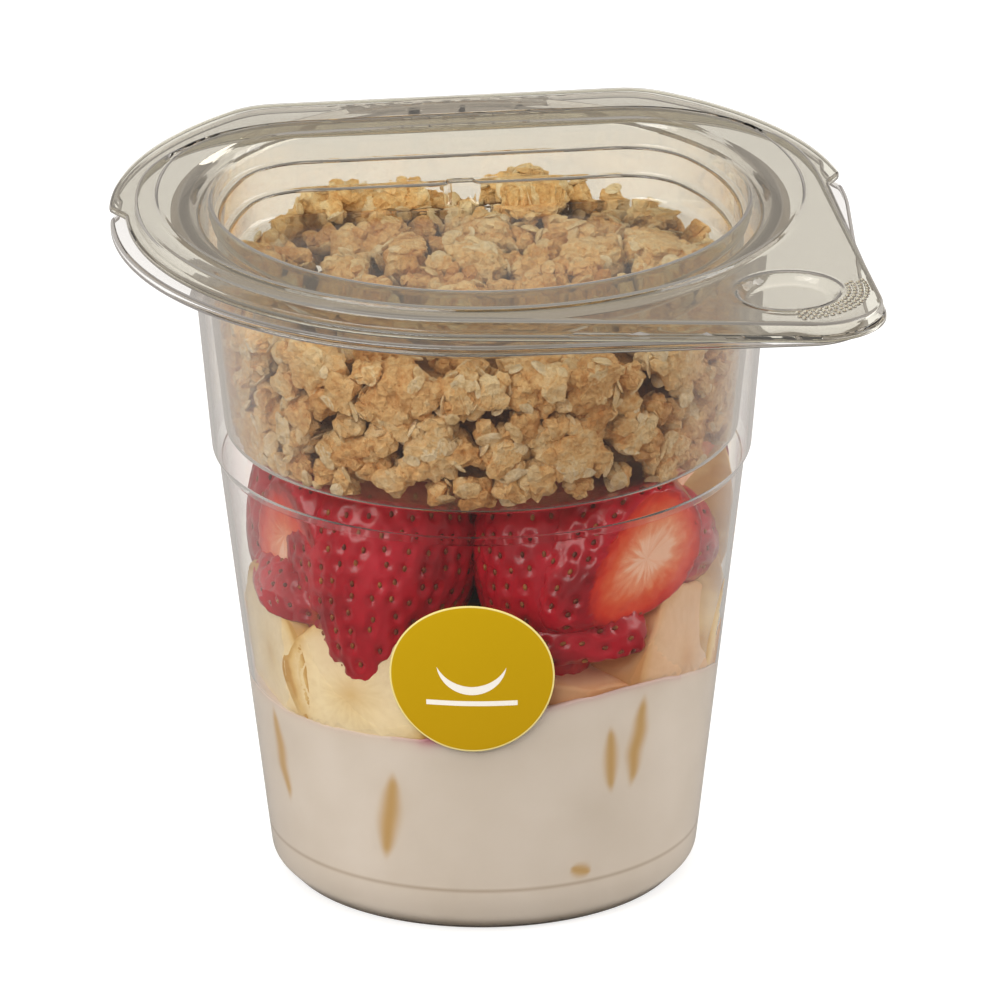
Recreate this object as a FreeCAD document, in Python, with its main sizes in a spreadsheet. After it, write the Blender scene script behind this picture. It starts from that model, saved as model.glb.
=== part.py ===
"""Yogurt parfait cup: a clear tumbler with a tear-open lid, a granola insert, fruit and yogurt.

Frame: origin on the floor under the cup's axis, +Z up, the straight tear edge behind at +Y.
Units are millimetres and degrees.
"""
import FreeCAD, Part
import Sketcher
import math
import os

V = FreeCAD.Vector
UP = V(0, 0, 1)

# ---------------------------------------------------------------- driving sizes
SIZES = [
    # cup
    ("wall", 0.6), ("base_rise", 1.2), ("base_panel_radius", 24.5), ("foot_width", 3.4),
    ("foot_radius", 29.7), ("base_round", 3.2), ("heel_radius", 33.45), ("heel_height", 7.5),
    ("ledge_height", 68.2), ("ledge_radius", 40.8), ("ledge_rise", 1.6), ("ledge_step", 1.0),
    ("mouth_radius", 45.2), ("cup_height", 107.2), ("rim_radius", "=mouth_radius + 12"),
    ("lip_height", 1.5), ("notch_radius", 5.0), ("notch_bite", 2.2), ("notch_angle", 170.0),
    # straight tear edge and corner ear, shared by the cup's rim and the lid
    ("hinge_reach", "=mouth_radius + 3.4"), ("hinge_corner", 12.0), ("ear_angle", 48.0),
    ("cup_ear_reach", "=rim_radius + 9.3"), ("cup_ear_radius", 9.6),
    # insert
    ("sheet_wall", 0.5), ("insert_floor", 72.5),
    ("insert_floor_radius", "=ledge_radius - 1.1 - max(0; ledge_height + ledge_rise - insert_floor) * 0.2"),
    ("insert_round", 1.6), ("insert_mouth_radius", "=mouth_radius - 1.3"),
    ("insert_flange_radius", "=mouth_radius + 2.6"),
    # lid
    ("wing_radius", "=rim_radius + 0.2"), ("wing_start", 6.0), ("flange_width", 1.4),
    ("tray_radius", "=rim_radius - 3.8"), ("tray_reach", "=mouth_radius - 10.8"),
    ("tray_corner", 28.0), ("tray_rise", 2.5),
    ("lid_ear_reach", "=rim_radius + 11.3"), ("lid_ear_radius", 10.4),
    ("bead_inset", 3.4), ("bead_rise", 0.8),
    ("well_radius", "=mouth_radius - 3.9"), ("well_reach", "=tray_reach - 7"),
    ("well_corner", 13.0), ("well_shelf", 1.2),
    ("well_depth_top", 3.4), ("well_depth_middle", 7.6), ("well_depth", 11.6),
    ("dimple_reach", "=rim_radius + 5.8"), ("dimple_radius", 8.0), ("dimple_depth", 1.4),
    # label
    ("label_diameter", 25.4), ("label_thickness", 0.15), ("label_height", 44.0),
    ("label_angle", -98.5), ("label_gap", 0.1),
    # food
    ("yogurt_level", 34.0), ("yogurt_swell", 5.8), ("granola_level", 91.0),
    ("granola_lump", 4.6), ("food_gap", 0.15), ("fruit_gap", 0.3), ("granola_headroom", 0.6),
]

doc = FreeCAD.newDocument("parfait_cup")
sheet = doc.addObject("Spreadsheet::Sheet", "sizes")
for row, (alias, number) in enumerate(SIZES, start=1):
    sheet.set("A%d" % row, alias)
    sheet.set("B%d" % row, str(number))
    sheet.setAlias("B%d" % row, alias)
doc.recompute()


class Size:
    """A length: its number, and the spreadsheet expression that gives it."""

    def __init__(self, number, text):
        self.number = number
        self.text = text

    def __add__(self, other):
        return Size(self.number + other.number, "(%s + %s)" % (self.text, other.text))

    def __sub__(self, other):
        return Size(self.number - other.number, "(%s - %s)" % (self.text, other.text))

    def __mul__(self, factor):
        return Size(self.number * factor, "(%s * %r)" % (self.text, factor))


def cell(alias):
    return Size(float(sheet.get(alias)), "sizes." + alias)


def number(alias):
    return float(sheet.get(alias))


ZERO = Size(0.0, "0")
wall = cell("wall")
sheet_wall = cell("sheet_wall")
cup_height = cell("cup_height")
lid_seat = cup_height + sheet_wall
lid_top = lid_seat + cell("tray_rise")


# ---------------------------------------------------------------- sketch helpers
def new_sketch(body, name, role, lift=ZERO):
    """A sketch on one of the body's own origin planes, lifted along its normal."""
    plane = next(item for item in body.Origin.OriginFeatures if item.Role == role)
    sketch = body.newObject("Sketcher::SketchObject", name)
    sketch.AttachmentSupport = [(plane, "")]
    sketch.MapMode = "FlatFace"
    if lift is not ZERO:
        sketch.AttachmentOffset = FreeCAD.Placement(V(0, 0, lift.number), FreeCAD.Rotation())
        sketch.setExpression("AttachmentOffset.Base.z", lift.text)
    return sketch


def bind(sketch, size, kind, *where):
    """Adds one dimension and binds it to its expression."""
    index = sketch.addConstraint(Sketcher.Constraint(kind, *where, size.number))
    sketch.setExpression("Constraints[%d]" % index, size.text)


def place_point(sketch, geometry, point, x, y):
    """Holds a point at x, y, both nought or more."""
    for size, kind, axis in ((x, "DistanceX", -2), (y, "DistanceY", -1)):
        if size is ZERO:
            sketch.addConstraint(Sketcher.Constraint("PointOnObject", geometry, point, axis))
        else:
            bind(sketch, size, kind, -1, 1, geometry, point)


def closed_profile(sketch, corners):
    """A closed outline through corners (x, y, radius of the arc that leads there or None)."""
    count = len(corners)
    for index, (x, y, radius) in enumerate(corners):
        x_before, y_before, _ = corners[index - 1]
        start = V(x_before.number, y_before.number, 0)
        end = V(x.number, y.number, 0)
        if radius is None:
            sketch.addGeometry(Part.LineSegment(start, end), False)
            continue
        middle = start.add(end).multiply(0.5)
        chord = end.sub(start)
        left = V(-chord.y, chord.x, 0).normalize()
        turn = 1 if radius.number > 0 else -1
        size = abs(radius.number)
        rise = math.sqrt(max(size ** 2 - (chord.Length / 2) ** 2, 0.0))
        centre = middle.add(left.multiply(turn * rise))
        first, last = (start, end) if turn > 0 else (end, start)
        angles = [math.atan2(p.y - centre.y, p.x - centre.x) for p in (first, last)]
        circle = Part.Circle(centre, UP, size)
        sketch.addGeometry(Part.ArcOfCircle(circle, angles[0], angles[1]), False)
    ends = []
    for index, (x, y, radius) in enumerate(corners):
        flipped = radius is not None and radius.number < 0
        ends.append((2, 1) if flipped else (1, 2))
    for index in range(count):
        following = (index + 1) % count
        joint = (index, ends[index][1], following, ends[following][0])
        sketch.addConstraint(Sketcher.Constraint("Coincident", *joint))
    for index, (x, y, radius) in enumerate(corners):
        place_point(sketch, index, ends[index][1], x, y)
        if radius is not None:
            positive = radius if radius.number > 0 else radius * -1.0
            bind(sketch, positive, "Radius", index)


def revolve(body, name, corners):
    """A solid of revolution about Z from an outline in the XZ plane."""
    sketch = new_sketch(body, name + "_outline", "XZ_Plane")
    closed_profile(sketch, corners)
    feature = body.newObject("PartDesign::Revolution", name)
    feature.Profile = sketch
    feature.ReferenceAxis = (sketch, ["V_Axis"])
    feature.Angle = 360.0
    doc.recompute()
    return feature


def circle_loop(sketch, radius, reach=ZERO, angle=0.0):
    """A circle, on the axis or out at a reach towards a fixed angle."""
    centre = V(reach.number * math.cos(angle), reach.number * math.sin(angle), 0)
    index = sketch.addGeometry(Part.Circle(centre, UP, radius.number), False)
    bind(sketch, radius, "Radius", index)
    if reach is ZERO:
        sketch.addConstraint(Sketcher.Constraint("Coincident", index, 3, -1, 1))
    else:
        hold_centre(sketch, index, reach, angle)


def hold_centre(sketch, index, reach, angle):
    """Binds a centre's two distances from the origin, whichever side it lies on."""
    for kind, share in (("DistanceX", math.cos(angle)), ("DistanceY", math.sin(angle))):
        ends = (-1, 1, index, 3) if share > 0 else (index, 3, -1, 1)
        bind(sketch, reach * abs(share), kind, *ends)


def corner_centre(radius, reach, corner):
    """Centre of the right-hand arc that joins the round side to the straight back."""
    across = math.sqrt((radius.number - corner.number) ** 2 - (reach.number - corner.number) ** 2)
    return V(across, reach.number - corner.number, 0)


def back_edge(sketch, main_first, main_last, radius, reach, corner):
    """The straight back and its two corner arcs, joined to the ends of the round side."""
    centre = corner_centre(radius, reach, corner)
    lean = math.atan2(centre.y, centre.x)
    mirrored = V(-centre.x, centre.y, 0)
    right = sketch.addGeometry(
        Part.ArcOfCircle(Part.Circle(centre, UP, corner.number), lean, math.pi / 2), False)
    back = sketch.addGeometry(
        Part.LineSegment(V(centre.x, reach.number, 0), V(-centre.x, reach.number, 0)), False)
    left = sketch.addGeometry(
        Part.ArcOfCircle(Part.Circle(mirrored, UP, corner.number), math.pi / 2, math.pi - lean),
        False)
    chain = ((main_last, right), (right, back), (back, left), (left, main_first))
    for before, after in chain:
        sketch.addConstraint(Sketcher.Constraint("Tangent", before, 2, after, 1))
    bind(sketch, corner, "Radius", right)
    bind(sketch, corner, "Radius", left)
    sketch.addConstraint(Sketcher.Constraint("Horizontal", back))
    bind(sketch, reach, "DistanceY", -1, 1, back, 1)


def round_side(sketch, radius, start, end):
    """An arc about the axis."""
    arc = Part.ArcOfCircle(Part.Circle(V(0, 0, 0), UP, radius.number), start, end)
    index = sketch.addGeometry(arc, False)
    sketch.addConstraint(Sketcher.Constraint("Coincident", index, 3, -1, 1))
    bind(sketch, radius, "Radius", index)
    return index


def d_loop(sketch, radius, reach, corner):
    """A D: round at the front and sides, straight at the back."""
    centre = corner_centre(radius, reach, corner)
    lean = math.atan2(centre.y, centre.x)
    main = round_side(sketch, radius, math.pi - lean, 2 * math.pi + lean)
    back_edge(sketch, main, main, radius, reach, corner)


def ear_loop(sketch, radius, reach, corner, ear_reach, ear_radius):
    """The D with an ear that stands out at the front right corner."""
    centre = corner_centre(radius, reach, corner)
    lean = math.atan2(centre.y, centre.x)
    ear_angle = 2 * math.pi - math.radians(number("ear_angle"))
    spread = math.acos((radius.number - ear_radius.number) / ear_reach.number)
    ear = V(math.cos(ear_angle), math.sin(ear_angle), 0).multiply(ear_reach.number)
    first = round_side(sketch, radius, math.pi - lean, ear_angle - spread)
    arms = []
    for side in (-1, 1):
        out = V(math.cos(ear_angle + side * spread), math.sin(ear_angle + side * spread), 0)
        arms.append((V(out).multiply(radius.number), ear.add(V(out).multiply(ear_radius.number))))
    arm_in = sketch.addGeometry(Part.LineSegment(arms[0][0], arms[0][1]), False)
    tip = sketch.addGeometry(Part.ArcOfCircle(
        Part.Circle(ear, UP, ear_radius.number), ear_angle - spread, ear_angle + spread), False)
    arm_out = sketch.addGeometry(Part.LineSegment(arms[1][1], arms[1][0]), False)
    second = round_side(sketch, radius, ear_angle + spread, 2 * math.pi + lean)
    for before, after in ((first, arm_in), (arm_in, tip), (tip, arm_out), (arm_out, second)):
        sketch.addConstraint(Sketcher.Constraint("Tangent", before, 2, after, 1))
    bind(sketch, ear_radius, "Radius", tip)
    hold_centre(sketch, tip, ear_reach, ear_angle)
    back_edge(sketch, first, second, radius, reach, corner)


def front_loop(sketch, reach, back):
    """A rectangle that covers everything in front of a line across the part."""
    low, high, side = -reach.number, back.number, reach.number
    corners = [V(-side, low, 0), V(side, low, 0), V(side, high, 0), V(-side, high, 0)]
    lines = [sketch.addGeometry(Part.LineSegment(corners[i - 1], corners[i]), False) for i in range(4)]
    for index, line in enumerate(lines):
        following = lines[(index + 1) % 4]
        sketch.addConstraint(Sketcher.Constraint("Coincident", line, 2, following, 1))
        sketch.addConstraint(Sketcher.Constraint("Vertical" if index % 2 == 0 else "Horizontal", line))
    bind(sketch, reach, "DistanceX", lines[0], 2, -1, 1)
    bind(sketch, reach, "DistanceY", lines[0], 2, -1, 1)
    bind(sketch, reach, "DistanceX", -1, 1, lines[2], 2)
    bind(sketch, back, "DistanceY", -1, 1, lines[2], 2)


def grown(loop, by):
    return tuple(size + by for size in loop)


def shrunk(loop, by):
    return tuple(size - by for size in loop)


def pad(body, name, height, bottom, *loops):
    """Adds material upwards from a height; loops draw the outline and its holes."""
    return raise_or_cut(body, "PartDesign::Pad", name, height, bottom, loops, False)


def pocket_down(body, name, depth, top, *loops):
    return raise_or_cut(body, "PartDesign::Pocket", name, depth, top, loops, False)


def pocket_up(body, name, depth, bottom, *loops):
    return raise_or_cut(body, "PartDesign::Pocket", name, depth, bottom, loops, True)


def raise_or_cut(body, kind, name, length, lift, loops, flipped):
    sketch = new_sketch(body, name + "_outline", "XY_Plane", lift)
    for draw, *dimensions in loops:
        draw(sketch, *dimensions)
    feature = body.newObject(kind, name)
    feature.Profile = sketch
    feature.Reversed = flipped
    feature.Length = length.number
    feature.setExpression("Length", length.text)
    doc.recompute()
    return feature


def new_body(label):
    body = doc.addObject("PartDesign::Body", label + "_body")
    body.Label = label
    return body


# ---------------------------------------------------------------- cup
def cup_inside(gap):
    """Corners (r, z) of the cup's inner wall from the base up, drawn in by a gap."""
    thick = number("wall") + gap
    ledge_top = number("ledge_height") + number("ledge_rise")
    return [
        (number("foot_radius") - number("base_round") / 2, thick),
        (number("foot_radius") + number("base_round") * 0.7 - thick, number("base_round") * 0.3 + thick),
        (number("foot_radius") + number("base_round") - thick, number("base_round") + gap),
        (number("heel_radius") - thick, number("heel_height") + gap),
        (number("ledge_radius") - thick, number("ledge_height")),
        (number("ledge_radius") + number("ledge_step") - thick, ledge_top + gap),
        (number("mouth_radius") - thick, number("cup_height")),
    ]


def make_cup():
    body = new_body("cup")
    foot_out = cell("foot_radius")
    foot_in = foot_out - cell("foot_width")
    panel = cell("base_panel_radius")
    rise = cell("base_rise")
    rounding = cell("base_round")
    round_out = foot_out + rounding
    heel_z = cell("heel_height")
    ledge_z = cell("ledge_height")
    ledge_top = ledge_z + cell("ledge_rise")
    ledge_low = cell("ledge_radius")
    ledge_up = ledge_low + cell("ledge_step")
    heel = cell("heel_radius")
    mouth = cell("mouth_radius")
    revolve(body, "tumbler", [
        (ZERO, rise, None),
        (panel, rise, None),
        (foot_in, ZERO, None),
        (foot_out, ZERO, None),
        (round_out, rounding, rounding),
        (heel, heel_z, None),
        (ledge_low, ledge_z, None),
        (ledge_up, ledge_top, None),
        (mouth, cup_height, None),
        (mouth - wall, cup_height, None),
        (ledge_up - wall, ledge_top, None),
        (ledge_low - wall, ledge_z, None),
        (heel - wall, heel_z, None),
        (round_out - wall, rounding, None),
        (foot_out, wall, (rounding - wall) * -1.0),
        (foot_in, wall, None),
        (panel, rise + wall, None),
        (ZERO, rise + wall, None),
    ])
    lip = cell("lip_height")
    rim_bottom = cup_height - lip
    outline = (cell("rim_radius"), cell("hinge_reach"), cell("hinge_corner"),
               cell("cup_ear_reach"), cell("cup_ear_radius"))
    inside = (*shrunk(outline[:3], wall), outline[3], outline[4] - wall)
    pad(body, "rim", lip, rim_bottom, (ear_loop, *outline), (circle_loop, mouth - wall * 0.5))
    pocket_up(body, "rim_hollow", lip - wall, rim_bottom, (ear_loop, *inside), (circle_loop, mouth))
    reach = cell("rim_radius") + cell("notch_radius") - cell("notch_bite")
    angle = math.radians(number("notch_angle"))
    pocket_up(body, "rim_notches", lip, rim_bottom,
              (circle_loop, cell("notch_radius"), reach, angle),
              (circle_loop, cell("notch_radius"), reach, math.pi - angle))
    return body


# ---------------------------------------------------------------- insert
def make_insert():
    body = new_body("insert")
    floor = cell("insert_floor")
    rounding = cell("insert_round")
    radius = cell("insert_floor_radius")
    mouth = cell("insert_mouth_radius")
    flange = cell("insert_flange_radius")
    revolve(body, "tub", [
        (ZERO, floor, None),
        (radius - rounding, floor, None),
        (radius, floor + rounding, rounding),
        (mouth, cup_height, None),
        (flange, cup_height, None),
        (flange, cup_height + sheet_wall, None),
        (mouth - sheet_wall, cup_height + sheet_wall, None),
        (radius - sheet_wall, floor + rounding, None),
        (radius - rounding, floor + sheet_wall, (rounding - sheet_wall) * -1.0),
        (ZERO, floor + sheet_wall, None),
    ])
    return body


# ---------------------------------------------------------------- lid
def well(step):
    """The D of the lid's sunk panel, one shelf further in at each step."""
    inset = cell("well_shelf") * float(step)
    return cell("well_radius") - inset, cell("well_reach") - inset, cell("well_corner") - inset


def ear_outline(radius, reach, corner, inset=ZERO):
    """Arguments of an ear loop on the lid, drawn in all round by an inset."""
    drawn = shrunk((radius, reach, corner), inset) if inset is not ZERO else (radius, reach, corner)
    ear_radius = cell("lid_ear_radius") + (radius - cell("tray_radius")) * 0.35
    return (ear_loop, *drawn, cell("lid_ear_reach"), ear_radius - inset)


def make_lid():
    body = new_body("lid")
    back = (cell("hinge_reach"), cell("hinge_corner"))
    flange = (cell("tray_radius") + cell("flange_width"), *back)
    tray = (cell("tray_radius"), cell("tray_reach"), cell("tray_corner"))
    bead = shrunk(tray, cell("bead_inset"))
    bead = (bead[0], tray[1] - cell("bead_inset") * 0.4, bead[2])
    bead_top = lid_top + cell("bead_rise")
    depths = (cell("well_depth_top"), cell("well_depth_middle"), cell("well_depth"))
    around_well = (d_loop, *grown(well(0), sheet_wall))
    dimple = (cell("dimple_reach"), -math.radians(number("ear_angle")))
    dimple_outside = cell("dimple_radius") + sheet_wall

    pad(body, "wing", sheet_wall, lid_seat, (d_loop, cell("wing_radius"), *back))
    pocket_down(body, "wing_front", sheet_wall, lid_seat + sheet_wall,
                (front_loop, cell("wing_radius") * 1.3, cell("wing_start")))
    pad(body, "flange", sheet_wall, lid_seat, ear_outline(*flange))
    pad(body, "tray", cell("tray_rise"), lid_seat, ear_outline(*tray))
    pad(body, "bead", cell("bead_rise"), lid_top, (d_loop, *bead))
    for step, depth in enumerate(depths):
        pad(body, "well_outside_%d" % step, depth + sheet_wall, lid_top - depth - sheet_wall,
            (d_loop, *grown(well(step), sheet_wall)))
    for step, depth in enumerate(depths):
        pocket_down(body, "well_%d" % step, depth + cell("bead_rise"), bead_top, (d_loop, *well(step)))
    pocket_up(body, "tray_hollow", cell("tray_rise") - sheet_wall, lid_seat,
              ear_outline(*tray, sheet_wall), around_well,
              (circle_loop, dimple_outside, *dimple))
    pocket_up(body, "bead_hollow", cell("tray_rise") + cell("bead_rise") - sheet_wall, lid_seat,
              (d_loop, *shrunk(bead, sheet_wall)), around_well)
    pocket_up(body, "dimple_hollow", cell("tray_rise") - cell("dimple_depth") - sheet_wall, lid_seat,
              (circle_loop, dimple_outside + sheet_wall * 0.2, *dimple))
    pocket_down(body, "dimple", cell("dimple_depth"), lid_top,
                (circle_loop, cell("dimple_radius"), *dimple))
    pad(body, "lip", sheet_wall, cup_height, ear_outline(*flange), ear_outline(*flange, sheet_wall))
    return body


# ---------------------------------------------------------------- label
def make_label():
    """A round sticker that follows the cup's sloping wall."""
    slope = "(sizes.ledge_radius - sizes.heel_radius)"
    cones = []
    for name, gap in (("label_outer", "sizes.label_gap + sizes.label_thickness"),
                      ("label_inner", "sizes.label_gap")):
        cone = doc.addObject("Part::Cone", name)
        cone.setExpression("Radius1", "sizes.heel_radius + " + gap)
        cone.setExpression("Radius2", "sizes.heel_radius + %s + %s" % (slope, gap))
        cone.setExpression("Height", "sizes.ledge_height - sizes.heel_height")
        cone.setExpression("Placement.Base.z", "sizes.heel_height")
        cones.append(cone)
    skin = doc.addObject("Part::Cut", "label_skin")
    skin.Base, skin.Tool = cones
    punch = doc.addObject("Part::Cylinder", "label_punch")
    punch.setExpression("Radius", "sizes.label_diameter / 2")
    punch.setExpression("Height", "sizes.mouth_radius + sizes.label_diameter")
    outward = FreeCAD.Rotation(UP, number("label_angle")).multVec(V(1, 0, 0))
    punch.Placement = FreeCAD.Placement(V(0, 0, number("label_height")), FreeCAD.Rotation(UP, outward))
    disc = doc.addObject("Part::Common", "label_disc")
    disc.Base = skin
    disc.Tool = punch
    disc.Label = "label"
    doc.recompute()
    return disc


# ---------------------------------------------------------------- food
def turned(outline):
    """A solid of revolution about Z from corners (r, z)."""
    points = [V(r, 0, z) for r, z in outline]
    return Part.Face(Part.makePolygon(points + points[:1])).revolve(V(0, 0, 0), UP, 360)


def height_cutter(height_at, reach, steps, top):
    """Everything above an uneven surface z = height_at(x, y)."""
    spacing = 2.0 * reach / steps
    grid = []
    for i in range(steps + 1):
        x = -reach + i * spacing
        grid.append([V(x, -reach + j * spacing, height_at(x, -reach + j * spacing))
                     for j in range(steps + 1)])
    surface = Part.BSplineSurface()
    surface.interpolate(grid)
    return surface.toShape().extrude(V(0, 0, top))


def bump(x, y, centre_x, centre_y, height, spread):
    distance = (x - centre_x) ** 2 + (y - centre_y) ** 2
    return height * math.exp(-distance / (2.0 * spread ** 2))


def yogurt_height(x, y):
    """Lower at the front left, pushed up behind the label and to its right."""
    swell = number("yogurt_swell")
    level = number("yogurt_level") - 0.6 * math.sin(x / 9.0) * math.cos(y / 11.0)
    right = bump(x, y, 14.0, -30.0, swell, 12.0)
    back = bump(x, y, -18.0, 27.0, swell * 0.55, 13.0)
    return level + right + back


def granola_height(x, y):
    """Lumps set out along a spiral, higher towards the back wall."""
    golden = math.radians(137.5)
    radius = number("insert_floor_radius")
    total = number("granola_level") + 1.6 * y / radius
    for index in range(1, 22):
        out = radius * math.sqrt(index / 22.0)
        size = number("granola_lump") * (0.55 + 0.45 * math.sin(2.3 * index))
        total += bump(x, y, out * math.cos(golden * index), out * math.sin(golden * index), size, 5.2)
    ceiling = lid_top.number - number("well_depth") - number("sheet_wall")
    return min(total, ceiling - number("granola_headroom"))


def berry(length, width, grow=0.0):
    """A hulled strawberry, tip at the origin and flat hull end up its Z axis."""
    tip = width * 0.17
    shoulder = width * 0.34
    middle = length * 0.66
    belly = width / 2.0
    lean = math.atan2(belly - tip, middle - tip)
    across = V(math.cos(lean), 0, -math.sin(lean))
    tip_centre = V(0, 0, tip)
    belly_centre = V(belly - shoulder, 0, middle)
    tip_size = tip + grow
    belly_size = shoulder + grow
    flank_low = tip_centre + V(across).multiply(tip_size)
    flank_high = belly_centre + V(across).multiply(belly_size)
    half_tip = V(math.sin(0.5 * (math.pi / 2 - lean)), 0, -math.cos(0.5 * (math.pi / 2 - lean)))
    tip_arc = Part.Arc(V(0, 0, -grow), tip_centre + half_tip.multiply(tip_size), flank_low)
    flank = Part.LineSegment(flank_low, flank_high)
    crown = belly_centre + V(0, 0, belly_size)
    quarter = belly_centre + V(math.cos(0.7), 0, math.sin(0.7)).multiply(belly_size)
    belly_arc = Part.Arc(flank_high, quarter, crown)
    top = V(min(belly * 0.42, crown.x) * 0.8 + grow, 0, length + grow)
    shoulder_line = Part.LineSegment(crown, top)
    end = V(0, 0, length + grow)
    edges = [tip_arc.toShape(), flank.toShape(), belly_arc.toShape(), shoulder_line.toShape(),
             Part.makeLine(top, end), Part.makeLine(end, V(0, 0, -grow))]
    return Part.Face(Part.Wire(edges)).revolve(V(0, 0, 0), UP, 360)


def coin(width, thickness, grow=0.0):
    """A banana slice: a round disc with its rim turned, centred on the origin."""
    radius = width / 2.0 + grow
    half = thickness / 2.0 + grow
    edge = min(half, radius) * 0.35
    outline = [(0, -half), (radius - edge, -half), (radius, -half + edge),
               (radius, half - edge), (radius - edge, half), (0, half)]
    return turned(outline)


def local_frame(angle, reach, height):
    """Origin and the outward, sideways and up directions at a place in the cup."""
    turn = FreeCAD.Rotation(UP, angle)
    outward = turn.multVec(V(1, 0, 0))
    sideways = turn.multVec(V(0, 1, 0))
    return outward.multiply(reach) + V(0, 0, height), turn.multVec(V(1, 0, 0)), sideways


def direction(angle, out, side, up):
    """A unit direction given by its outward, sideways and up parts."""
    _, outward, sideways = local_frame(angle, 0.0, 0.0)
    return (outward.multiply(out) + sideways.multiply(side) + V(0, 0, up)).normalize()


def half_space(point, normal, size):
    """A box that fills everything on the normal's side of a plane."""
    box = Part.makeBox(size, size, size, V(-size / 2, -size / 2, 0))
    box.Placement = FreeCAD.Placement(point, FreeCAD.Rotation(UP, normal))
    return box


def berry_piece(grow, angle, reach, height, axis, length, width, face=None, depth=0.0):
    """A strawberry by its middle, with an optional cut face looking one way."""
    middle, _, _ = local_frame(angle, reach, height)
    upward = direction(angle, *axis)
    shape = berry(length, width, grow)
    base = middle - V(upward).multiply(length * 0.55)
    shape.Placement = FreeCAD.Placement(base, FreeCAD.Rotation(UP, upward))
    if face is not None:
        normal = direction(angle, *face)
        point = middle + V(normal).multiply(depth + grow)
        shape = shape.cut(half_space(point, normal, 4.0 * length))
    return shape


def coin_piece(grow, angle, reach, height, axis, width, thickness):
    """A banana slice by its middle and the way its flat face looks."""
    middle, _, _ = local_frame(angle, reach, height)
    shape = coin(width, thickness, grow)
    shape.Placement = FreeCAD.Placement(middle, FreeCAD.Rotation(UP, direction(angle, *axis)))
    return shape


# Each row: name, angle about the cup, reach from its axis, height, then
# the axis (outward, sideways, up), length, width and, where cut, the face and its offset.
STRAWBERRIES = [
    ("strawberry_front_left", -127.0, 24.0, 55.6, (-0.34, 0.04, 0.94), 40.0, 30.0),
    ("strawberry_cut_right", -50.0, 27.4, 61.5, (-0.1, 0.85, 0.45), 30.0, 24.0, (1.0, 0.0, -0.12), 5.2),
    ("strawberry_front_middle", -75.0, 22.6, 56.0, (-0.3, 0.0, 0.95), 36.0, 25.0),
    ("strawberry_strip_right", -62.0, 29.4, 47.6, (0.05, 1.0, 0.12), 26.0, 17.0, (0.1, 0.0, -1.0), 3.0),
    ("strawberry_end_right", -34.0, 28.2, 56.8, (0.0, 1.0, 0.12), 26.0, 18.0),
    ("strawberry_cut_left", -157.0, 28.6, 60.0, (0.1, -0.1, -1.0), 28.0, 24.0, (1.0, 0.0, -0.1), 5.0),
    ("strawberry_strip_left", -155.0, 30.6, 50.0, (0.02, -1.0, 0.05), 26.0, 14.0),
    ("strawberry_low_middle", -108.0, 28.0, 40.6, (0.0, 1.0, 0.0), 23.0, 14.0),
    ("strawberry_cut_far_right", -8.0, 29.0, 63.0, (0.0, 0.6, 0.8), 25.0, 20.0, (1.0, -0.5, 0.0), 4.0),
    ("strawberry_back_right", 28.0, 24.4, 57.0, (-0.25, 0.1, 0.96), 34.0, 26.0),
    ("strawberry_cut_back_right", 63.0, 27.0, 59.5, (0.0, -0.5, 0.85), 28.0, 25.0, (1.0, 0.0, 0.0), 5.0),
    ("strawberry_back", 98.0, 23.6, 57.5, (-0.3, -0.1, 0.95), 35.0, 27.0),
    ("strawberry_cut_back_left", 134.0, 27.0, 60.0, (0.0, 0.7, 0.7), 27.0, 24.0, (1.0, 0.1, 0.0), 5.2),
    ("strawberry_left", 170.0, 24.6, 58.5, (-0.2, 0.15, -0.97), 33.0, 26.0),
]

# Each row: name, angle, reach, height, the way its face looks, width and thickness.
BANANAS = [
    ("banana_front_left", -136.0, 29.0, 42.0, (1.0, 0.18, 0.1), 25.0, 11.0),
    ("banana_far_left", -168.0, 27.6, 39.0, (1.0, -0.25, -0.25), 26.0, 11.0),
    ("banana_front_right", -39.0, 28.6, 41.0, (1.0, 0.1, 0.12), 26.0, 11.0),
    ("banana_far_right", -10.0, 27.6, 42.0, (1.0, 0.25, -0.15), 25.0, 11.0),
    ("banana_low_right", -72.0, 22.0, 37.6, (0.25, 0.1, 1.0), 25.0, 9.0),
    ("banana_tall_right", 8.0, 31.0, 56.0, (1.0, 0.1, -0.12), 26.0, 9.0),
    ("banana_back_right", 22.0, 28.0, 39.0, (1.0, -0.1, 0.3), 26.0, 11.0),
    ("banana_back_middle_right", 55.0, 28.6, 41.5, (1.0, 0.2, 0.0), 25.0, 11.0),
    ("banana_back", 88.0, 28.0, 40.5, (1.0, -0.2, 0.2), 26.0, 11.0),
    ("banana_back_middle_left", 121.0, 28.4, 43.0, (1.0, 0.15, -0.1), 25.0, 11.0),
    ("banana_back_left", 156.0, 28.0, 42.0, (1.0, -0.15, 0.2), 26.0, 11.0),
]


def largest(shape):
    """The biggest solid of a shape, without crumbs."""
    return max(shape.Solids, key=lambda solid: solid.Volume)


def make_fruit():
    """Every piece kept inside the cup, under the insert and off the pieces before it."""
    gap = number("fruit_gap")
    ceiling = number("insert_floor") - gap
    inner = [(r, z) for r, z in cup_inside(gap) if z < number("ledge_height") + 5.0]
    room = turned([(0, inner[0][1])] + inner + [(inner[-1][0], ceiling), (0, ceiling)])
    makers = [(row[0], berry_piece, row[1:]) for row in STRAWBERRIES]
    makers += [(row[0], coin_piece, row[1:]) for row in BANANAS]
    pieces = []
    for name, maker, dimensions in makers:
        shape = maker(0.0, *dimensions).common(room)
        for _, other_maker, other_dimensions, _ in pieces:
            other = other_maker(gap, *other_dimensions)
            if shape.BoundBox.intersect(other.BoundBox):
                shape = shape.cut(other)
        pieces.append((name, maker, dimensions, largest(shape)))
    return pieces


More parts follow.
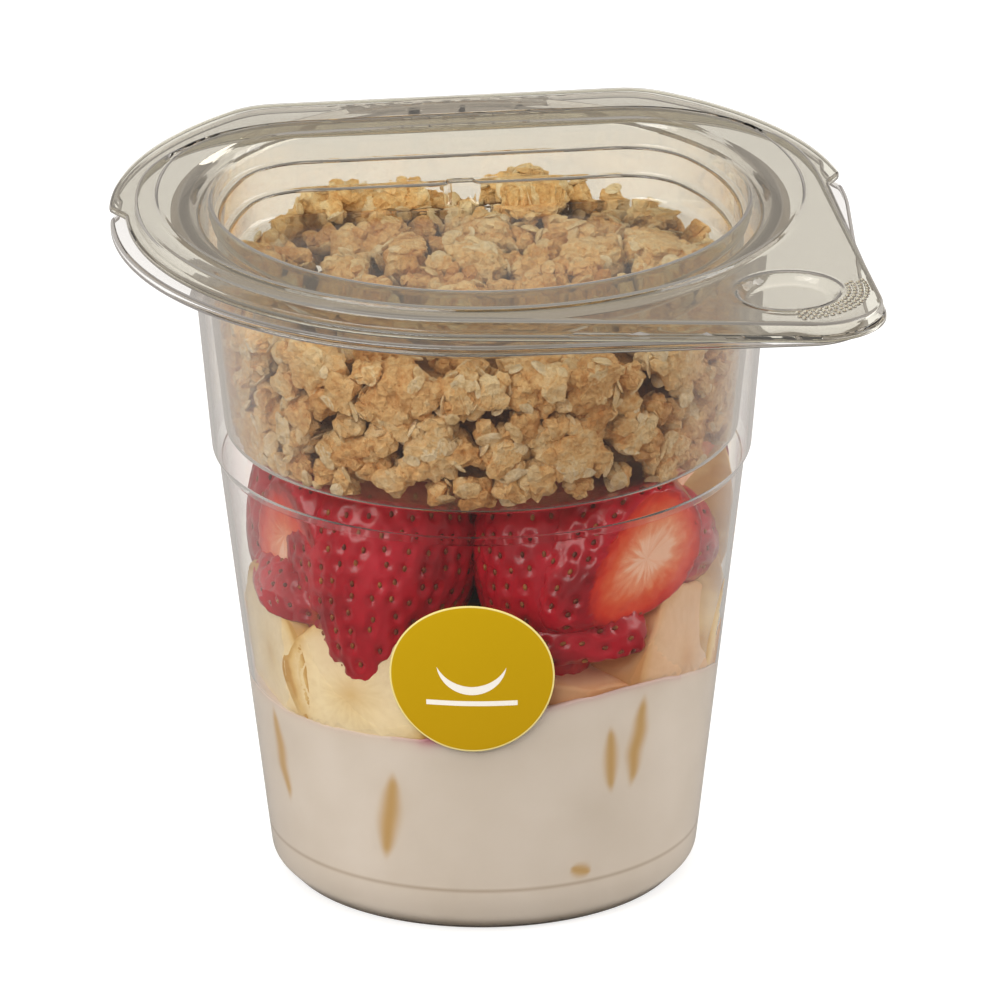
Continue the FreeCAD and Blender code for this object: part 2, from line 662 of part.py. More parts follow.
def add_feature(label, shape):
    feature = doc.addObject("Part::Feature", label)
    feature.Label = label
    feature.Shape = shape
    return feature


def make_yogurt(fruit):
    """Fills the base up to its uneven level, with a hollow for every piece that sinks in."""
    gap = number("food_gap")
    inside = [(r, z) for r, z in cup_inside(gap) if z < number("ledge_height") + 5.0]
    floor = number("base_rise") + number("wall") + gap
    panel = number("base_panel_radius") + gap
    foot_in = number("foot_radius") - number("foot_width")
    outline = [(0, floor), (panel, floor), (foot_in, inside[0][1])] + inside
    filling = turned(outline + [(0, inside[-1][1])])
    reach = number("ledge_radius") + 2.0
    filling = filling.cut(height_cutter(yogurt_height, reach, 12, number("cup_height")))
    for _, maker, dimensions, _ in fruit:
        sunk = maker(gap, *dimensions)
        if sunk.BoundBox.ZMin < filling.BoundBox.ZMax:
            filling = filling.cut(sunk)
    return largest(filling)


def make_granola():
    """Fills the insert out to its wall, up to a lumpy top."""
    gap = number("food_gap")
    floor = number("insert_floor") + number("sheet_wall") + gap
    rounding = number("insert_round")
    radius = number("insert_floor_radius") - number("sheet_wall") - gap
    mouth = number("insert_mouth_radius") - number("sheet_wall") - gap
    outline = [(0, floor), (radius - rounding, floor), (radius - gap, number("insert_floor") + rounding + gap),
               (mouth, number("cup_height")), (0, number("cup_height"))]
    heap = turned(outline)
    cutter = height_cutter(granola_height, number("insert_mouth_radius") + 2.0, 22, number("cup_height"))
    return largest(heap.cut(cutter))


# ---------------------------------------------------------------- build and write
parts = [make_cup(), make_insert(), make_lid(), make_label()]
fruit = make_fruit()
parts += [add_feature(name, shape) for name, _, _, shape in fruit]
parts.append(add_feature("yogurt", make_yogurt(fruit)))
parts.append(add_feature("granola", make_granola()))
doc.recompute()

for item in doc.Objects:
    if "Invalid" in item.State or "Error" in item.State:
        raise RuntimeError("%s did not build: %s" % (item.Label, item.State))
for part in parts:
    if part.Shape.isNull() or not part.Shape.isValid():
        raise RuntimeError("%s has no valid shape" % part.Label)

os.makedirs("parts", exist_ok=True)
for part in parts:
    part.Shape.exportStep("parts/%s.step" % part.Label)
    box = part.Shape.BoundBox
    print("%-28s volume %9.1f  z %6.1f to %6.1f" % (part.Label, part.Shape.Volume, box.ZMin, box.ZMax))
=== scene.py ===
"""Yogurt parfait cup: clear tumbler, tear-open lid, granola insert, berries, banana, yogurt.

Shapes are worked out in millimetres and written in metres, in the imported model's own frame.
"""
import functools
import math
import random

import bmesh
import bpy
from mathutils import Matrix, Vector, kdtree, noise


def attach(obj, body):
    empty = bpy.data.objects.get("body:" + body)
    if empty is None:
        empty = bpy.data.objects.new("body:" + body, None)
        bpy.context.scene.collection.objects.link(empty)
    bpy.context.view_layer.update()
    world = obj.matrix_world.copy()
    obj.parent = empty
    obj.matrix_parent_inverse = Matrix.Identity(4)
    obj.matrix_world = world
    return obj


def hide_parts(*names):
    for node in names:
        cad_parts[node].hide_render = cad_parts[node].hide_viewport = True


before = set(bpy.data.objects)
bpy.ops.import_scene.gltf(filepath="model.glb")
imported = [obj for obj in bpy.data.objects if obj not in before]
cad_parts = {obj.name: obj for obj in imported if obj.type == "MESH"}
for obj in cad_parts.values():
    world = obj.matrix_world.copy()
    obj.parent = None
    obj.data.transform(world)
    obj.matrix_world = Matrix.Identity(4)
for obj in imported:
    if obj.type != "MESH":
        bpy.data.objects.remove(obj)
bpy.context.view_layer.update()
MM = 0.001
TAU = 2.0 * math.pi

# ---- sizes, mm
CUP_WALL = 0.6
SHEET = 0.5
CUP_TOP = 107.2
LID_SEAT = 107.7
LID_TOP = 110.2
BEAD_TOP = 111.0
WELL_FLOOR = 98.6
INSERT_FLOOR = 72.5
FRUIT_CEILING = 72.35
EAR_ANGLE = math.radians(-48.0)
DIMPLE_RADIUS = 8.0
DIMPLE_DEPTH = 1.4
LABEL_ANGLE = math.radians(-99.2)
LABEL_HEIGHT = 44.9
LABEL_RADIUS = 12.7
# the cup's inner wall, as (height, reach)
CUP_INSIDE = [(1.8, 29.2), (2.4, 31.4), (3.2, 32.3), (7.5, 32.85), (68.2, 40.2), (69.8, 41.2),
              (CUP_TOP, 44.6)]
# how far food that touches the wall is let into it, so that no air gap shows
WET_CONTACT = 0.04


# ---- small helpers
def ease(low, high, value):
    """0 below low, 1 above high, smooth between."""
    share = min(max((value - low) / (high - low), 0.0), 1.0)
    return share * share * (3.0 - 2.0 * share)


def mix(a, b, share):
    return a + (b - a) * share


def polar(reach, angle, z=0.0):
    """The point at a reach and an angle about the cup's axis."""
    return Vector((reach * math.cos(angle), reach * math.sin(angle), z))


DIMPLE = polar(63.0, EAR_ANGLE)


def apart(angle, other):
    """How far one angle is from another, the shorter way round."""
    return abs((angle - other + math.pi) % TAU - math.pi)


def pressed_in(point, most, z):
    """A point at height z, pressed back until it is no farther from the axis than most."""
    flat = math.hypot(point.x, point.y)
    if flat > most:
        return Vector((point.x * most / flat, point.y * most / flat, z))
    return Vector((point.x, point.y, z))


def fractal(point):
    """Noise of about -1 to 1 with finer octaves added."""
    total, size = 0.0, 1.0
    for _ in range(3):
        total += size * noise.noise(point)
        point = point * 2.1
        size *= 0.5
    return total


def drawn(rng, low, high):
    """A vector with each part drawn between low and high."""
    return Vector((rng.uniform(low, high), rng.uniform(low, high), rng.uniform(low, high)))


def interpolate(table, value):
    """Straight-line reading of a table of (value, result)."""
    for (a, first), (b, second) in zip(table, table[1:]):
        if value <= b:
            return mix(first, second, min(max((value - a) / (b - a), 0.0), 1.0))
    return table[-1][1]


FLAT_WALL = [(z, reach + WET_CONTACT) for z, reach in CUP_INSIDE]


def wall_reach(z):
    """Radius at which food that touches the cup meets its inner wall."""
    return interpolate(FLAT_WALL, z)


def settled(bm, name):
    """Turns a bmesh into a mesh."""
    mesh = bpy.data.meshes.new(name)
    bm.to_mesh(mesh)
    bm.free()
    return mesh


def shown(name, data):
    """A new object in the scene."""
    made = bpy.data.objects.new(name, data)
    bpy.context.scene.collection.objects.link(made)
    return made


def put(name, bm, materials, nodes=(), slot=None, smooth=True):
    """Writes a bmesh made in millimetres as a piece that rides on the root."""
    bmesh.ops.scale(bm, vec=(MM, MM, MM), verts=bm.verts)
    for face in bm.faces:
        face.smooth = smooth
    mesh = settled(bm, name)
    for material in materials:
        mesh.materials.append(material)
    piece = shown(name, mesh)
    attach(piece, "root")
    if nodes:
        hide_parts(*nodes)
    return piece


def wrapped(bm, around, along, place):
    """A grid bent by place(u, v), both 0 to 1, and welded where it meets itself."""
    grid = bmesh.ops.create_grid(bm, x_segments=around, y_segments=along, size=0.5)["verts"]
    for vert in grid:
        vert.co = place(vert.co.x + 0.5, vert.co.y + 0.5)
    bmesh.ops.remove_doubles(bm, verts=grid, dist=0.0005)
    return [vert for vert in grid if vert.is_valid]


def facing_out(bm):
    """Points every face away from what it wraps."""
    bmesh.ops.recalc_face_normals(bm, faces=bm.faces)


def ball(detail):
    """A mesh of a small ball, to be copied many times into a piece."""
    bm = bmesh.new()
    bmesh.ops.create_icosphere(bm, subdivisions=detail, radius=1.0)
    return settled(bm, "ball")


def copy_in(bm, mesh):
    """Copies a mesh into a bmesh and returns the new vertices."""
    start = len(bm.verts)
    bm.from_mesh(mesh)
    bm.verts.ensure_lookup_table()
    return bm.verts[start:]


# ---- materials
def colour(text):
    """An sRGB hex value as linear red, green, blue and a full alpha."""
    parts = [int(text[i:i + 2], 16) / 255.0 for i in (0, 2, 4)]
    linear = [p / 12.92 if p <= 0.04045 else ((p + 0.055) / 1.055) ** 2.4 for p in parts]
    return (*linear, 1.0)


def add(tree, kind, settings=(), links=()):
    """Adds a shader node: settings are properties, sockets or a ramp's stops, links feed sockets.

    A colour is a hex value, and a link is a socket or a node whose first output it takes.
    """
    node = tree.nodes.new("ShaderNode" + kind)
    for key, value in dict(settings).items():
        if key == "stops":
            elements = node.color_ramp.elements
            while len(elements) < len(value):
                elements.new(0.5)
            for element, (place, text) in zip(elements, value):
                element.position = place
                element.color = colour(text)
        elif isinstance(key, str) and hasattr(node, key) and key not in node.inputs:
            setattr(node, key, value)
        else:
            node.inputs[key].default_value = colour(value) if isinstance(value, str) else value
    for key, source in dict(links).items():
        socket = source.outputs[0] if isinstance(source, bpy.types.Node) else source
        tree.links.new(socket, node.inputs[key])
    return node


def laid_out(block, build, *choices):
    """Gives a material or the world the surface that build(node, *choices) makes."""
    block.use_nodes = True
    block.node_tree.nodes.clear()
    node = functools.partial(add, block.node_tree)
    kind = "OutputWorld" if isinstance(block, bpy.types.World) else "OutputMaterial"
    node(kind, {}, {"Surface": build(node, *choices)})
    return block


def finish(name, build, *choices):
    """A new material under its finish's name."""
    return laid_out(bpy.data.materials.new(name), build, *choices)


# a Mix node's colour sockets: the first and second colour, and what comes out
FIRST, SECOND, RESULT = 6, 7, 2
TINTED = {"data_type": "RGBA"}
MULTIPLIED = {"data_type": "RGBA", "blend_type": "MULTIPLY"}


def moulded_pet(node, tint):
    """Thermoformed PET: clear and glossy, so that what it holds shows through bright outlines.

    Lamps reach what it holds, and light caught between its walls gets out.
    """
    pet = node("BsdfPrincipled", {
        "Base Color": tint, "Roughness": 0.0, "IOR": 1.575, "Transmission Weight": 1.0})
    clear = node("BsdfTransparent", {"Color": "FBFAF8"})
    path = node("LightPath").outputs
    caught = node("Math", {"operation": "GREATER_THAN", 1: 0.5}, {0: path["Glossy Depth"]})
    deep = node("Math", {"operation": "GREATER_THAN", 1: 8.5}, {0: path["Ray Depth"]})
    either = node("Math", {"operation": "MAXIMUM"}, {0: caught, 1: deep})
    straight = node("Math", {"operation": "MAXIMUM"}, {0: either, 1: path["Is Shadow Ray"]})
    return node("MixShader", {}, {0: straight, 1: pet, 2: clear})


def printed_sticker(node):
    """Coated label paper: strong yellow ink with little gloss, and a white smile over a line."""
    where = node("Attribute", {"attribute_name": "print"}).outputs["Vector"]
    across, up, height = node("SeparateXYZ", {}, {0: where}).outputs
    flat = node("CombineXYZ", {}, {0: across, 1: up})
    ink = node("ValToRGB", {"stops": ((0.0, "B68E00"), (1.0, "C09A00"))}, {0: height})

    def from_centre(y):
        shift = node("VectorMath", {"operation": "SUBTRACT", 1: (0.0, y, 0.0)}, {0: flat})
        return node("VectorMath", {"operation": "LENGTH"}, {0: shift}).outputs["Value"]

    low_disc = node("Math", {"operation": "LESS_THAN", 1: 5.4}, {0: from_centre(2.6)})
    high_disc = node("Math", {"operation": "LESS_THAN", 1: 6.0}, {0: from_centre(4.6)})
    smile = node("Math", {"operation": "SUBTRACT", "use_clamp": True}, {0: low_disc, 1: high_disc})
    thin = node("Math", {"operation": "COMPARE", 1: -4.3, 2: 0.42}, {0: up})
    short = node("Math", {"operation": "COMPARE", 1: 0.0, 2: 7.0}, {0: across})
    line = node("Math", {"operation": "MULTIPLY"}, {0: thin, 1: short})
    white = node("Math", {"operation": "MAXIMUM"}, {0: smile, 1: line})
    face = node("Mix", {**TINTED, SECOND: "EFE8DC"}, {0: white, FIRST: ink}).outputs[RESULT]
    rim = node("Math", {"operation": "GREATER_THAN", 1: LABEL_RADIUS - 0.28},
               {0: from_centre(0.0)})
    face = node("Mix", {**TINTED, SECOND: "E6D488"}, {0: rim, FIRST: face}).outputs[RESULT]
    return node("BsdfPrincipled", {
        "Roughness": 0.5, "Specular IOR Level": 0.12, "Coat Weight": 0.04,
        "Coat Roughness": 0.3}, {"Base Color": face})


def strained_yogurt(node):
    """Thick plain yogurt: warm white, faintly uneven where it presses on the wall."""
    where = node("TexCoord").outputs["Object"]
    cloud = node("TexNoise", {"Scale": 70.0, "Detail": 3.0}, {"Vector": where})
    base = node("ValToRGB", {"stops": ((0.3, "D8CCBD"), (0.7, "E1D6C9"))}, {0: cloud})
    for attribute, tint in (("stain", "C07A86"), ("sunk", "C9A469")):
        share = node("Attribute", {"attribute_name": attribute}).outputs["Fac"]
        base = node("Mix", {**TINTED, SECOND: tint}, {0: share, FIRST: base}).outputs[RESULT]
    # painted shade: a thin darker line where the cup's wall bends, 7.5 mm up, and darker towards
    # the very bottom, on a ramp over 20 mm
    level = node("SeparateXYZ", {}, {0: where}).outputs["Z"]
    high = node("Math", {"operation": "MULTIPLY", 1: 50.0}, {0: level})
    bend = node("ValToRGB", {"stops": (
        (0.0, "E4DED6"), (0.12, "FFFFFF"), (0.35, "FFFFFF"), (0.375, "DDD5CC"),
        (0.40, "FFFFFF"))}, {0: high})
    base = node("Mix", {**MULTIPLIED, 0: 1.0}, {FIRST: base, SECOND: bend}).outputs[RESULT]
    return node("BsdfPrincipled", {"Roughness": 0.45}, {"Base Color": base})


def baked_oats(node, pale, mid, dark):
    """Oven-baked oats in honey glaze: matt gold crumbs, and painted shade in dark brown down
    between the clusters.
    """
    where = node("TexCoord").outputs["Object"]
    crumb = node("Attribute", {"attribute_name": "crumb"}).outputs["Vector"]
    # crumb holds a tone, with painted shade in the hollows of the knobs, and the painted shade
    # between the clusters
    tone, painted_gap_shade, _ = node("SeparateXYZ", {}, {0: crumb}).outputs
    # toasting about 5 mm across, then oat grains under 1 mm
    for scale, roughness in ((200.0, 0.6), (1100.0, 0.7)):
        grain = node("TexNoise", {"Scale": scale, "Detail": 3.0, "Roughness": roughness},
                     {"Vector": where})
        tone = node("Math", {"operation": "MULTIPLY_ADD", 1: 0.5}, {0: grain, 2: tone})
    base = node("ValToRGB", {"stops": ((0.34, dark), (0.5, mid), (0.68, pale))}, {0: tone})
    # painted shade: dark brown where a point lies deep between the clusters
    base = node("Mix", {**TINTED, SECOND: "7A4A22"}, {0: painted_gap_shade, FIRST: base}).outputs[RESULT]
    flaky = node("TexVoronoi", {"Scale": 620.0, "Randomness": 1.0}, {"Vector": where})
    rough = node("Math", {"operation": "MULTIPLY_ADD", 1: 0.8},
                 {0: flaky.outputs["Distance"], 2: grain})
    relief = node("Bump", {"Strength": 0.9, "Distance": 0.0008}, {"Height": rough})
    return node("BsdfPrincipled", {"Roughness": 0.6}, {"Base Color": base, "Normal": relief})


def strawberry_flesh(node):
    """Wet strawberry: glossy red skin, and a cut face from a red margin to a pale heart."""
    where = node("TexCoord").outputs["Object"]
    local = node("Attribute", {"attribute_name": "berry"}).outputs["Vector"]
    inward, about, upward = node("SeparateXYZ", {}, {0: local}).outputs
    cut = node("Attribute", {"attribute_name": "cut"}).outputs["Fac"]
    blotch = node("TexNoise", {"Scale": 120.0, "Detail": 3.0}, {"Vector": where})
    skin = node("ValToRGB", {"stops": ((0.3, "8C0816"), (0.55, "B20E22"), (0.8, "C81C32"))},
                {0: blotch})
    shoulder = node("ValToRGB", {"stops": ((0.0, "000000"), (0.9, "000000"), (0.97, "FFFFFF"))},
                    {0: upward})
    skin = node("Mix", {**TINTED, SECOND: "A5542C"}, {0: shoulder, FIRST: skin}).outputs[RESULT]
    # streaks fan out from the heart, about 2.5 mm apart at the margin
    fan = node("CombineXYZ", {}, {0: about, 1: inward})
    streak = node("TexNoise", {"Scale": 4.5, "Detail": 2.0, "Roughness": 0.5}, {"Vector": fan})
    uneven = node("Math", {"operation": "MULTIPLY_ADD", 1: 0.44, 2: -0.22}, {0: streak})
    reach = node("Math", {"operation": "ADD"}, {0: inward, 1: uneven})
    flesh = node("ValToRGB", {"stops": (
        (0.02, "960C0C"), (0.12, "B81812"), (0.36, "D6381A"), (0.64, "E0663C"),
        (0.88, "EA9C74"), (1.0, "F2C8AA"))}, {0: reach})
    base = node("Mix", TINTED, {0: cut, FIRST: skin, SECOND: flesh}).outputs[RESULT]
    return node("BsdfPrincipled", {
        "Roughness": 0.28, "Coat Weight": 0.35, "Coat Roughness": 0.15}, {"Base Color": base})


def strawberry_seed(node):
    """Dry seed set in the skin: dull yellow-brown specks on the red."""
    tone = node("TexNoise", {"Scale": 300.0}, {"Vector": node("TexCoord").outputs["Object"]})
    base = node("ValToRGB", {"stops": ((0.35, "5A2010"), (0.5, "7E3C1A"), (0.65, "A0682E"))},
                {0: tone})
    return node("BsdfPrincipled", {"Roughness": 0.4}, {"Base Color": base})


def banana_flesh(node):
    """Moist banana slice: pale cream, yellower at its rim, with faint soft blotches."""
    where = node("TexCoord").outputs["Object"]
    local = node("Attribute", {"attribute_name": "slice"}).outputs["Vector"]
    outward, about, blush = node("SeparateXYZ", {}, {0: local}).outputs
    blotch = node("TexNoise", {"Scale": 150.0, "Detail": 3.0}, {"Vector": where})
    spread = node("Math", {"operation": "MULTIPLY_ADD", 1: 0.3, 2: -0.15}, {0: blotch})
    reach = node("Math", {"operation": "ADD"}, {0: outward, 1: spread})
    base = node("ValToRGB", {"stops": (
        (0.0, "DDBE86"), (0.22, "EBD6A8"), (0.5, "F0DEB6"), (0.8, "EDD8AA"),
        (0.95, "E0C080"), (1.0, "C99C50"))}, {0: reach})
    # fibres run out from the core, about 2.5 mm apart at the rim
    fan = node("CombineXYZ", {}, {0: about, 1: outward})
    fibre = node("TexNoise", {"Scale": 5.0, "Detail": 3.0, "Roughness": 0.7}, {"Vector": fan})
    dull = node("ValToRGB", {"stops": ((0.35, "C8A878"), (0.6, "FFFFFF"))}, {0: fibre})
    base = node("Mix", {**MULTIPLIED, 0: 0.16}, {FIRST: base, SECOND: dull}).outputs[RESULT]
    base = node("Mix", {**TINTED, SECOND: "C98466"}, {0: blush, FIRST: base}).outputs[RESULT]
    grain = node("TexNoise", {"Scale": 900.0, "Detail": 2.0}, {"Vector": where})
    pulp = node("Bump", {"Strength": 0.2, "Distance": 0.0003}, {"Height": grain})
    return node("BsdfPrincipled", {"Roughness": 0.45}, {"Base Color": base, "Normal": pulp})


CUP_PET = finish("clear_cup_pet", moulded_pet, "F8F6F4")
INSERT_PET = finish("clear_insert_pet", moulded_pet, "F9F7F4")
LID_PET = finish("clear_lid_pet", moulded_pet, "E9E6DA")
STICKER = finish("coated_label_paper", printed_sticker)
YOGURT = finish("plain_yogurt", strained_yogurt)
OATS = finish("baked_oat_clusters", baked_oats, "F9E3B6", "F0C688", "D09858")
FLAKES = finish("rolled_oat_flakes", baked_oats, "FAECCC", "EED2A0", "D2A76A")
BERRY = finish("fresh_strawberry", strawberry_flesh)
SEED = finish("strawberry_seed", strawberry_seed)
BANANA = finish("ripe_banana", banana_flesh)


# ---- outlines, as reach by direction
def axis(angle):
    """The cup's axis, from which round outlines are offset."""
    return 0.0


def d_edge(radius, reach, corner):
    """Round, with a straight back at +Y and rounded corners."""
    across = math.sqrt((radius - corner) ** 2 - (reach - corner) ** 2)
    lean = math.atan2(reach - corner, across)

    def far(angle):
        side, back = abs(math.cos(angle)), math.sin(angle)
        turn = math.atan2(back, side)
        if turn <= lean:
            return radius
        along = across * side + (reach - corner) * back
        spare = across ** 2 + (reach - corner) ** 2 - corner ** 2
        hit = along + math.sqrt(max(along * along - spare, 0.0))
        return hit if hit * side >= across else reach / back
    return far


def eared(edge, radius, ear_reach, ear_radius):
    """An outline with a drop-shaped ear at the front right corner."""
    spread = math.acos((radius - ear_radius) / ear_reach)
    tip = math.atan2(ear_radius * math.sin(spread), ear_reach + ear_radius * math.cos(spread))

    def far(angle):
        off = apart(angle, EAR_ANGLE)
        if off >= spread:
            return edge(angle)
        if off > tip:
            return max(edge(angle), radius / math.cos(spread - off))
        side = ear_reach * math.sin(off)
        return ear_reach * math.cos(off) + math.sqrt(max(ear_radius ** 2 - side * side, 0.0))
    return far


def directions():
    """Angles once round, closer together over the ear."""
    found, angle = [], 0.0
    while angle < TAU - 0.002:
        found.append(angle)
        over_ear = apart(angle, EAR_ANGLE) < math.radians(9.5)
        angle += math.radians(0.36 if over_ear else 1.15)
    return found + [TAU]


ROUND = directions()


def rounded(points, steps=4):
    """Takes points (edge, offset, z, radius) and gives (edge, offset, z), corners rounded."""
    path = []
    for index, (edge, offset, z, radius) in enumerate(points):
        if radius <= 0.0 or index in (0, len(points) - 1):
            path.append((edge, offset, z))
            continue
        here = Vector((offset, z))
        arms = [Vector(other[1:3]) - here for other in (points[index - 1], points[index + 1])]
        bend = arms[0].angle(arms[1])
        cut = min(radius / math.tan(bend / 2.0), arms[0].length * 0.48, arms[1].length * 0.48)
        first = here + arms[0].normalized() * cut
        last = here + arms[1].normalized() * cut
        for step in range(steps + 1):
            share = step / steps
            point = (first * (1 - share) ** 2 + here * 2 * share * (1 - share)
                     + last * share ** 2)
            path.append((edge, point.x, point.y))
    return path


# ---- cup, insert and lid
def sheet_piece(name, path, material, thickness, node, slot, shape=None):
    """A formed sheet along a path of (edge, offset, z): even walls, soft corners."""
    bm = bmesh.new()
    count = len(ROUND) - 1

    def place(u, v):
        angle = ROUND[round(u * count)]
        edge, offset, z = path[round(v * (len(path) - 1))]
        reach = edge(angle) + offset
        point = polar(0.0 if reach < 0.01 else reach, angle, z)
        return shape(point, edge, angle) if shape else point

    wrapped(bm, count, len(path) - 1, place)
    bmesh.ops.reverse_faces(bm, faces=bm.faces[:])
    wall = put(name, bm, [material], (node,), slot).modifiers.new("wall", "SOLIDIFY")
    wall.thickness = thickness * MM
    wall.offset = -1.0


def make_cup():
    """The tumbler: foot ring, base panel, ledge, and a rim with an ear and a notch each side."""
    rim = eared(d_edge(57.2, 48.6, 12.0), 57.2, 66.5, 9.6)
    path = rounded([
        (axis, 0, 1.8, 0), (axis, 24.5, 1.8, 1.2), (axis, 26.3, 0.6, 0.8),
        (axis, 29.7, 0.6, 0.8), (axis, 32.3, 3.2, 2.4), (axis, 32.85, 7.5, 1.4),
        (axis, 40.2, 68.2, 0.8), (axis, 41.2, 69.8, 0.7), (axis, 44.6, CUP_TOP, 1.2),
        (axis, 48, CUP_TOP, 0)])[:-1]
    path += rounded([(rim, -6, CUP_TOP, 0), (rim, 0, CUP_TOP, 0.7), (rim, 0, CUP_TOP - 1.5, 0)])

    def notch(point, edge, angle):
        if edge is rim:
            for side in (170.0, 10.0):
                bite = 1.1 * (1.0 - ease(0.03, 0.09, apart(angle, math.radians(side))))
                flat = math.hypot(point.x, point.y)
                share = max(0.0, (flat - 50.0) / 7.2) * bite / flat
                point = Vector((point.x * (1 - share), point.y * (1 - share), point.z))
        return point

    sheet_piece("cup_wall", path, CUP_PET, CUP_WALL, "cup", "cup_plastic", notch)


def make_insert():
    """The granola tub, hung in the mouth by its flange."""
    floor = INSERT_FLOOR + SHEET
    path = rounded([(axis, 0, floor, 0), (axis, 39.3, floor, 1.4), (axis, 43.4, LID_SEAT, 0.9),
                    (axis, 47.8, LID_SEAT, 0)])
    sheet_piece("granola_insert", path, INSERT_PET, SHEET, "insert", "insert_plastic")


def make_lid():
    """The lid: stepped well, round bead, plate with its dimpled ear, and a low wing behind."""
    low_step, high_step, tray_foot = 102.6, 106.8, 108.2
    outer, middle, inner = [d_edge(41.3 - less, 27.4 - less, 13.0 - less)
                            for less in (0.0, 1.2, 2.4)]
    bead = d_edge(50.0, 33.04, 24.6)
    tray = eared(d_edge(53.4, 34.4, 28.0), 53.4, 68.5, 10.4)
    front = eared(d_edge(54.8, 48.6, 12.0), 54.8, 68.5, 10.89)
    wing = d_edge(57.4, 48.6, 12.0)

    def flange(angle):
        """Widens into the wing towards the back."""
        y = 56.0 * math.sin(angle)
        return mix(front(angle), wing(angle), ease(3.5, 8.0, y)) if y > 0 else front(angle)

    def plate_edge(share):
        """From the bead's foot to the tray's rounded edge."""
        return lambda angle: mix(bead(angle) + 1.2, tray(angle) - 1.6, share)

    def step(edge, run_in, low, first, high, second, run_out, steps=4):
        """A wall at an outline: rounded corners, with the level run in below and out above."""
        return rounded([(edge, -run_in, low, 0), (edge, 0.0, low, first),
                        (edge, 0.0, high, second), (edge, run_out, high, 0)], steps)

    plate = [plate_edge(share / 52.0) for share in range(1, 52)]
    path = [(axis, 0.0, WELL_FLOOR), (inner, -12.0, WELL_FLOOR)]
    path += step(inner, 2.0, WELL_FLOOR, 0.8, low_step, 0.5, 1.2)[:-1]
    path += step(middle, 0.6, low_step, 0.5, high_step, 0.5, 1.2)[1:-1]
    path += step(outer, 0.6, high_step, 0.5, BEAD_TOP, 2.4, 6.0, 6)[1:-1]
    path += rounded([(bead, -4.0, BEAD_TOP, 0), (bead, 0.0, BEAD_TOP, 0.9),
                     (bead, 0.5, LID_TOP, 0.5), (bead, 1.2, LID_TOP, 0)])[1:]
    path += [(edge, 0.0, LID_TOP) for edge in plate]
    path += step(tray, 1.6, LID_TOP, 1.0, tray_foot, 0.5, 0.6)[1:-1]
    path += rounded([(flange, -0.9, tray_foot, 0), (flange, 0.0, tray_foot, 0.5),
                     (flange, 0.0, 107.3, 0)])

    def shape(point, edge, angle):
        """The groove in the back of the well, and the dimple with its lip in the plate."""
        if edge is inner and point.y > 10.0:
            groove = 1.2 * (1.0 - ease(1.5, 2.6, abs(point.x)))
            point = point + Vector((0.0, groove * ease(98.5, 99.4, point.z), 0.0))
        if edge in plate:
            off = (point - DIMPLE).xy.length
            lip = 0.22 * ease(7.6, 8.2, off) * (1.0 - ease(8.4, 9.0, off))
            dip = DIMPLE_DEPTH * (1.0 - ease(6.4, DIMPLE_RADIUS, off))
            point = point + Vector((0.0, 0.0, lip - dip))
        return point

    sheet_piece("lid_sheet", path, LID_PET, SHEET, "lid", "lid_plastic", shape)


def make_grip():
    """Stipple on the ear's outer side, as fine domes, and the tear line's dashes."""
    bm = bmesh.new()
    dome = ball(2)

    def bump(spot, wide, deep, high):
        for vert in copy_in(bm, dome):
            vert.co = spot + Vector((vert.co.x * wide, vert.co.y * deep, vert.co.z * high))

    middle = DIMPLE + Vector((0.0, 0.0, LID_TOP))
    arc = math.radians(105.0)
    for ring in range(4):
        radius = 9.3 + ring * 0.95
        count = int(arc * radius / 1.15)
        for index in range(count):
            angle = math.radians(-88.0) + arc * (index + 0.5 * (ring % 2)) / count
            bump(middle + polar(radius, angle, -0.06), 0.44, 0.44, 0.4)
    for index in range(-6, 7):
        bump(Vector((index * 3.0, 45.9, 108.3)), 0.8, 0.22, 0.07)
    bpy.data.meshes.remove(dome)
    put("lid_grip", bm, [LID_PET], slot="lid_plastic")


# ---- label
def make_label():
    """A round sticker bent to the cup's slope, with a cushioned edge."""
    bm = bmesh.new()
    profile = [(0.0, 0.15), (4.0, 0.15), (8.0, 0.15), (11.5, 0.15), (12.45, 0.15), (12.62, 0.13),
               (LABEL_RADIUS, 0.07), (LABEL_RADIUS, 0.0), (11.5, 0.0), (6.0, 0.0), (0.0, 0.0)]

    def place(u, v):
        radius, lift = profile[round(v * (len(profile) - 1))]
        return polar(radius, u * TAU, lift)

    wrapped(bm, 96, len(profile) - 1, place)
    layer = bm.verts.layers.float_vector.new("print")
    for vert in bm.verts:
        across, up, lift = vert.co
        share = (up + LABEL_RADIUS) / (2.0 * LABEL_RADIUS)
        vert[layer] = (across, up, min(max(share, 0.0), 1.0))
        z = LABEL_HEIGHT + up
        radius = interpolate(CUP_INSIDE, z) + CUP_WALL
        angle = LABEL_ANGLE + math.asin(across / radius)
        vert.co = polar(radius + 0.1 + lift, angle, z)
    facing_out(bm)
    put("label_sticker", bm, [STICKER], ("label",), "label_paper")


# ---- yogurt
# the height of the yogurt's edge on the wall, as (angle, z)
YOGURT_EDGE = [
    (-180, 33), (-154, 32.5), (-132, 33.2), (-112, 33.6), (-100, 36), (-85, 38.6),
    (-73, 39.8), (-60, 40.2), (-46, 39.4), (-28, 36.5), (-11, 33.8), (10, 34.2), (40, 35.5),
    (70, 34), (95, 33.2), (120, 36), (150, 35.2), (180, 33)]
# slices sunk in the yogurt on edge behind the wall, each seen as one soft stripe:
# angle, height, lean, width, thickness
SUNK_SLICES = [
    (-159, 24, 7, 20, 3.4), (-121.5, 19.5, -8, 20, 3.8),
    (-63, 28, 4, 15, 2.8), (-55, 30, -5, 20, 3.6),
    (-70, 9.6, 70, 5, 2.6), (30, 22, 5, 18, 3.4),
    (100, 24, -6, 20, 3.6)]


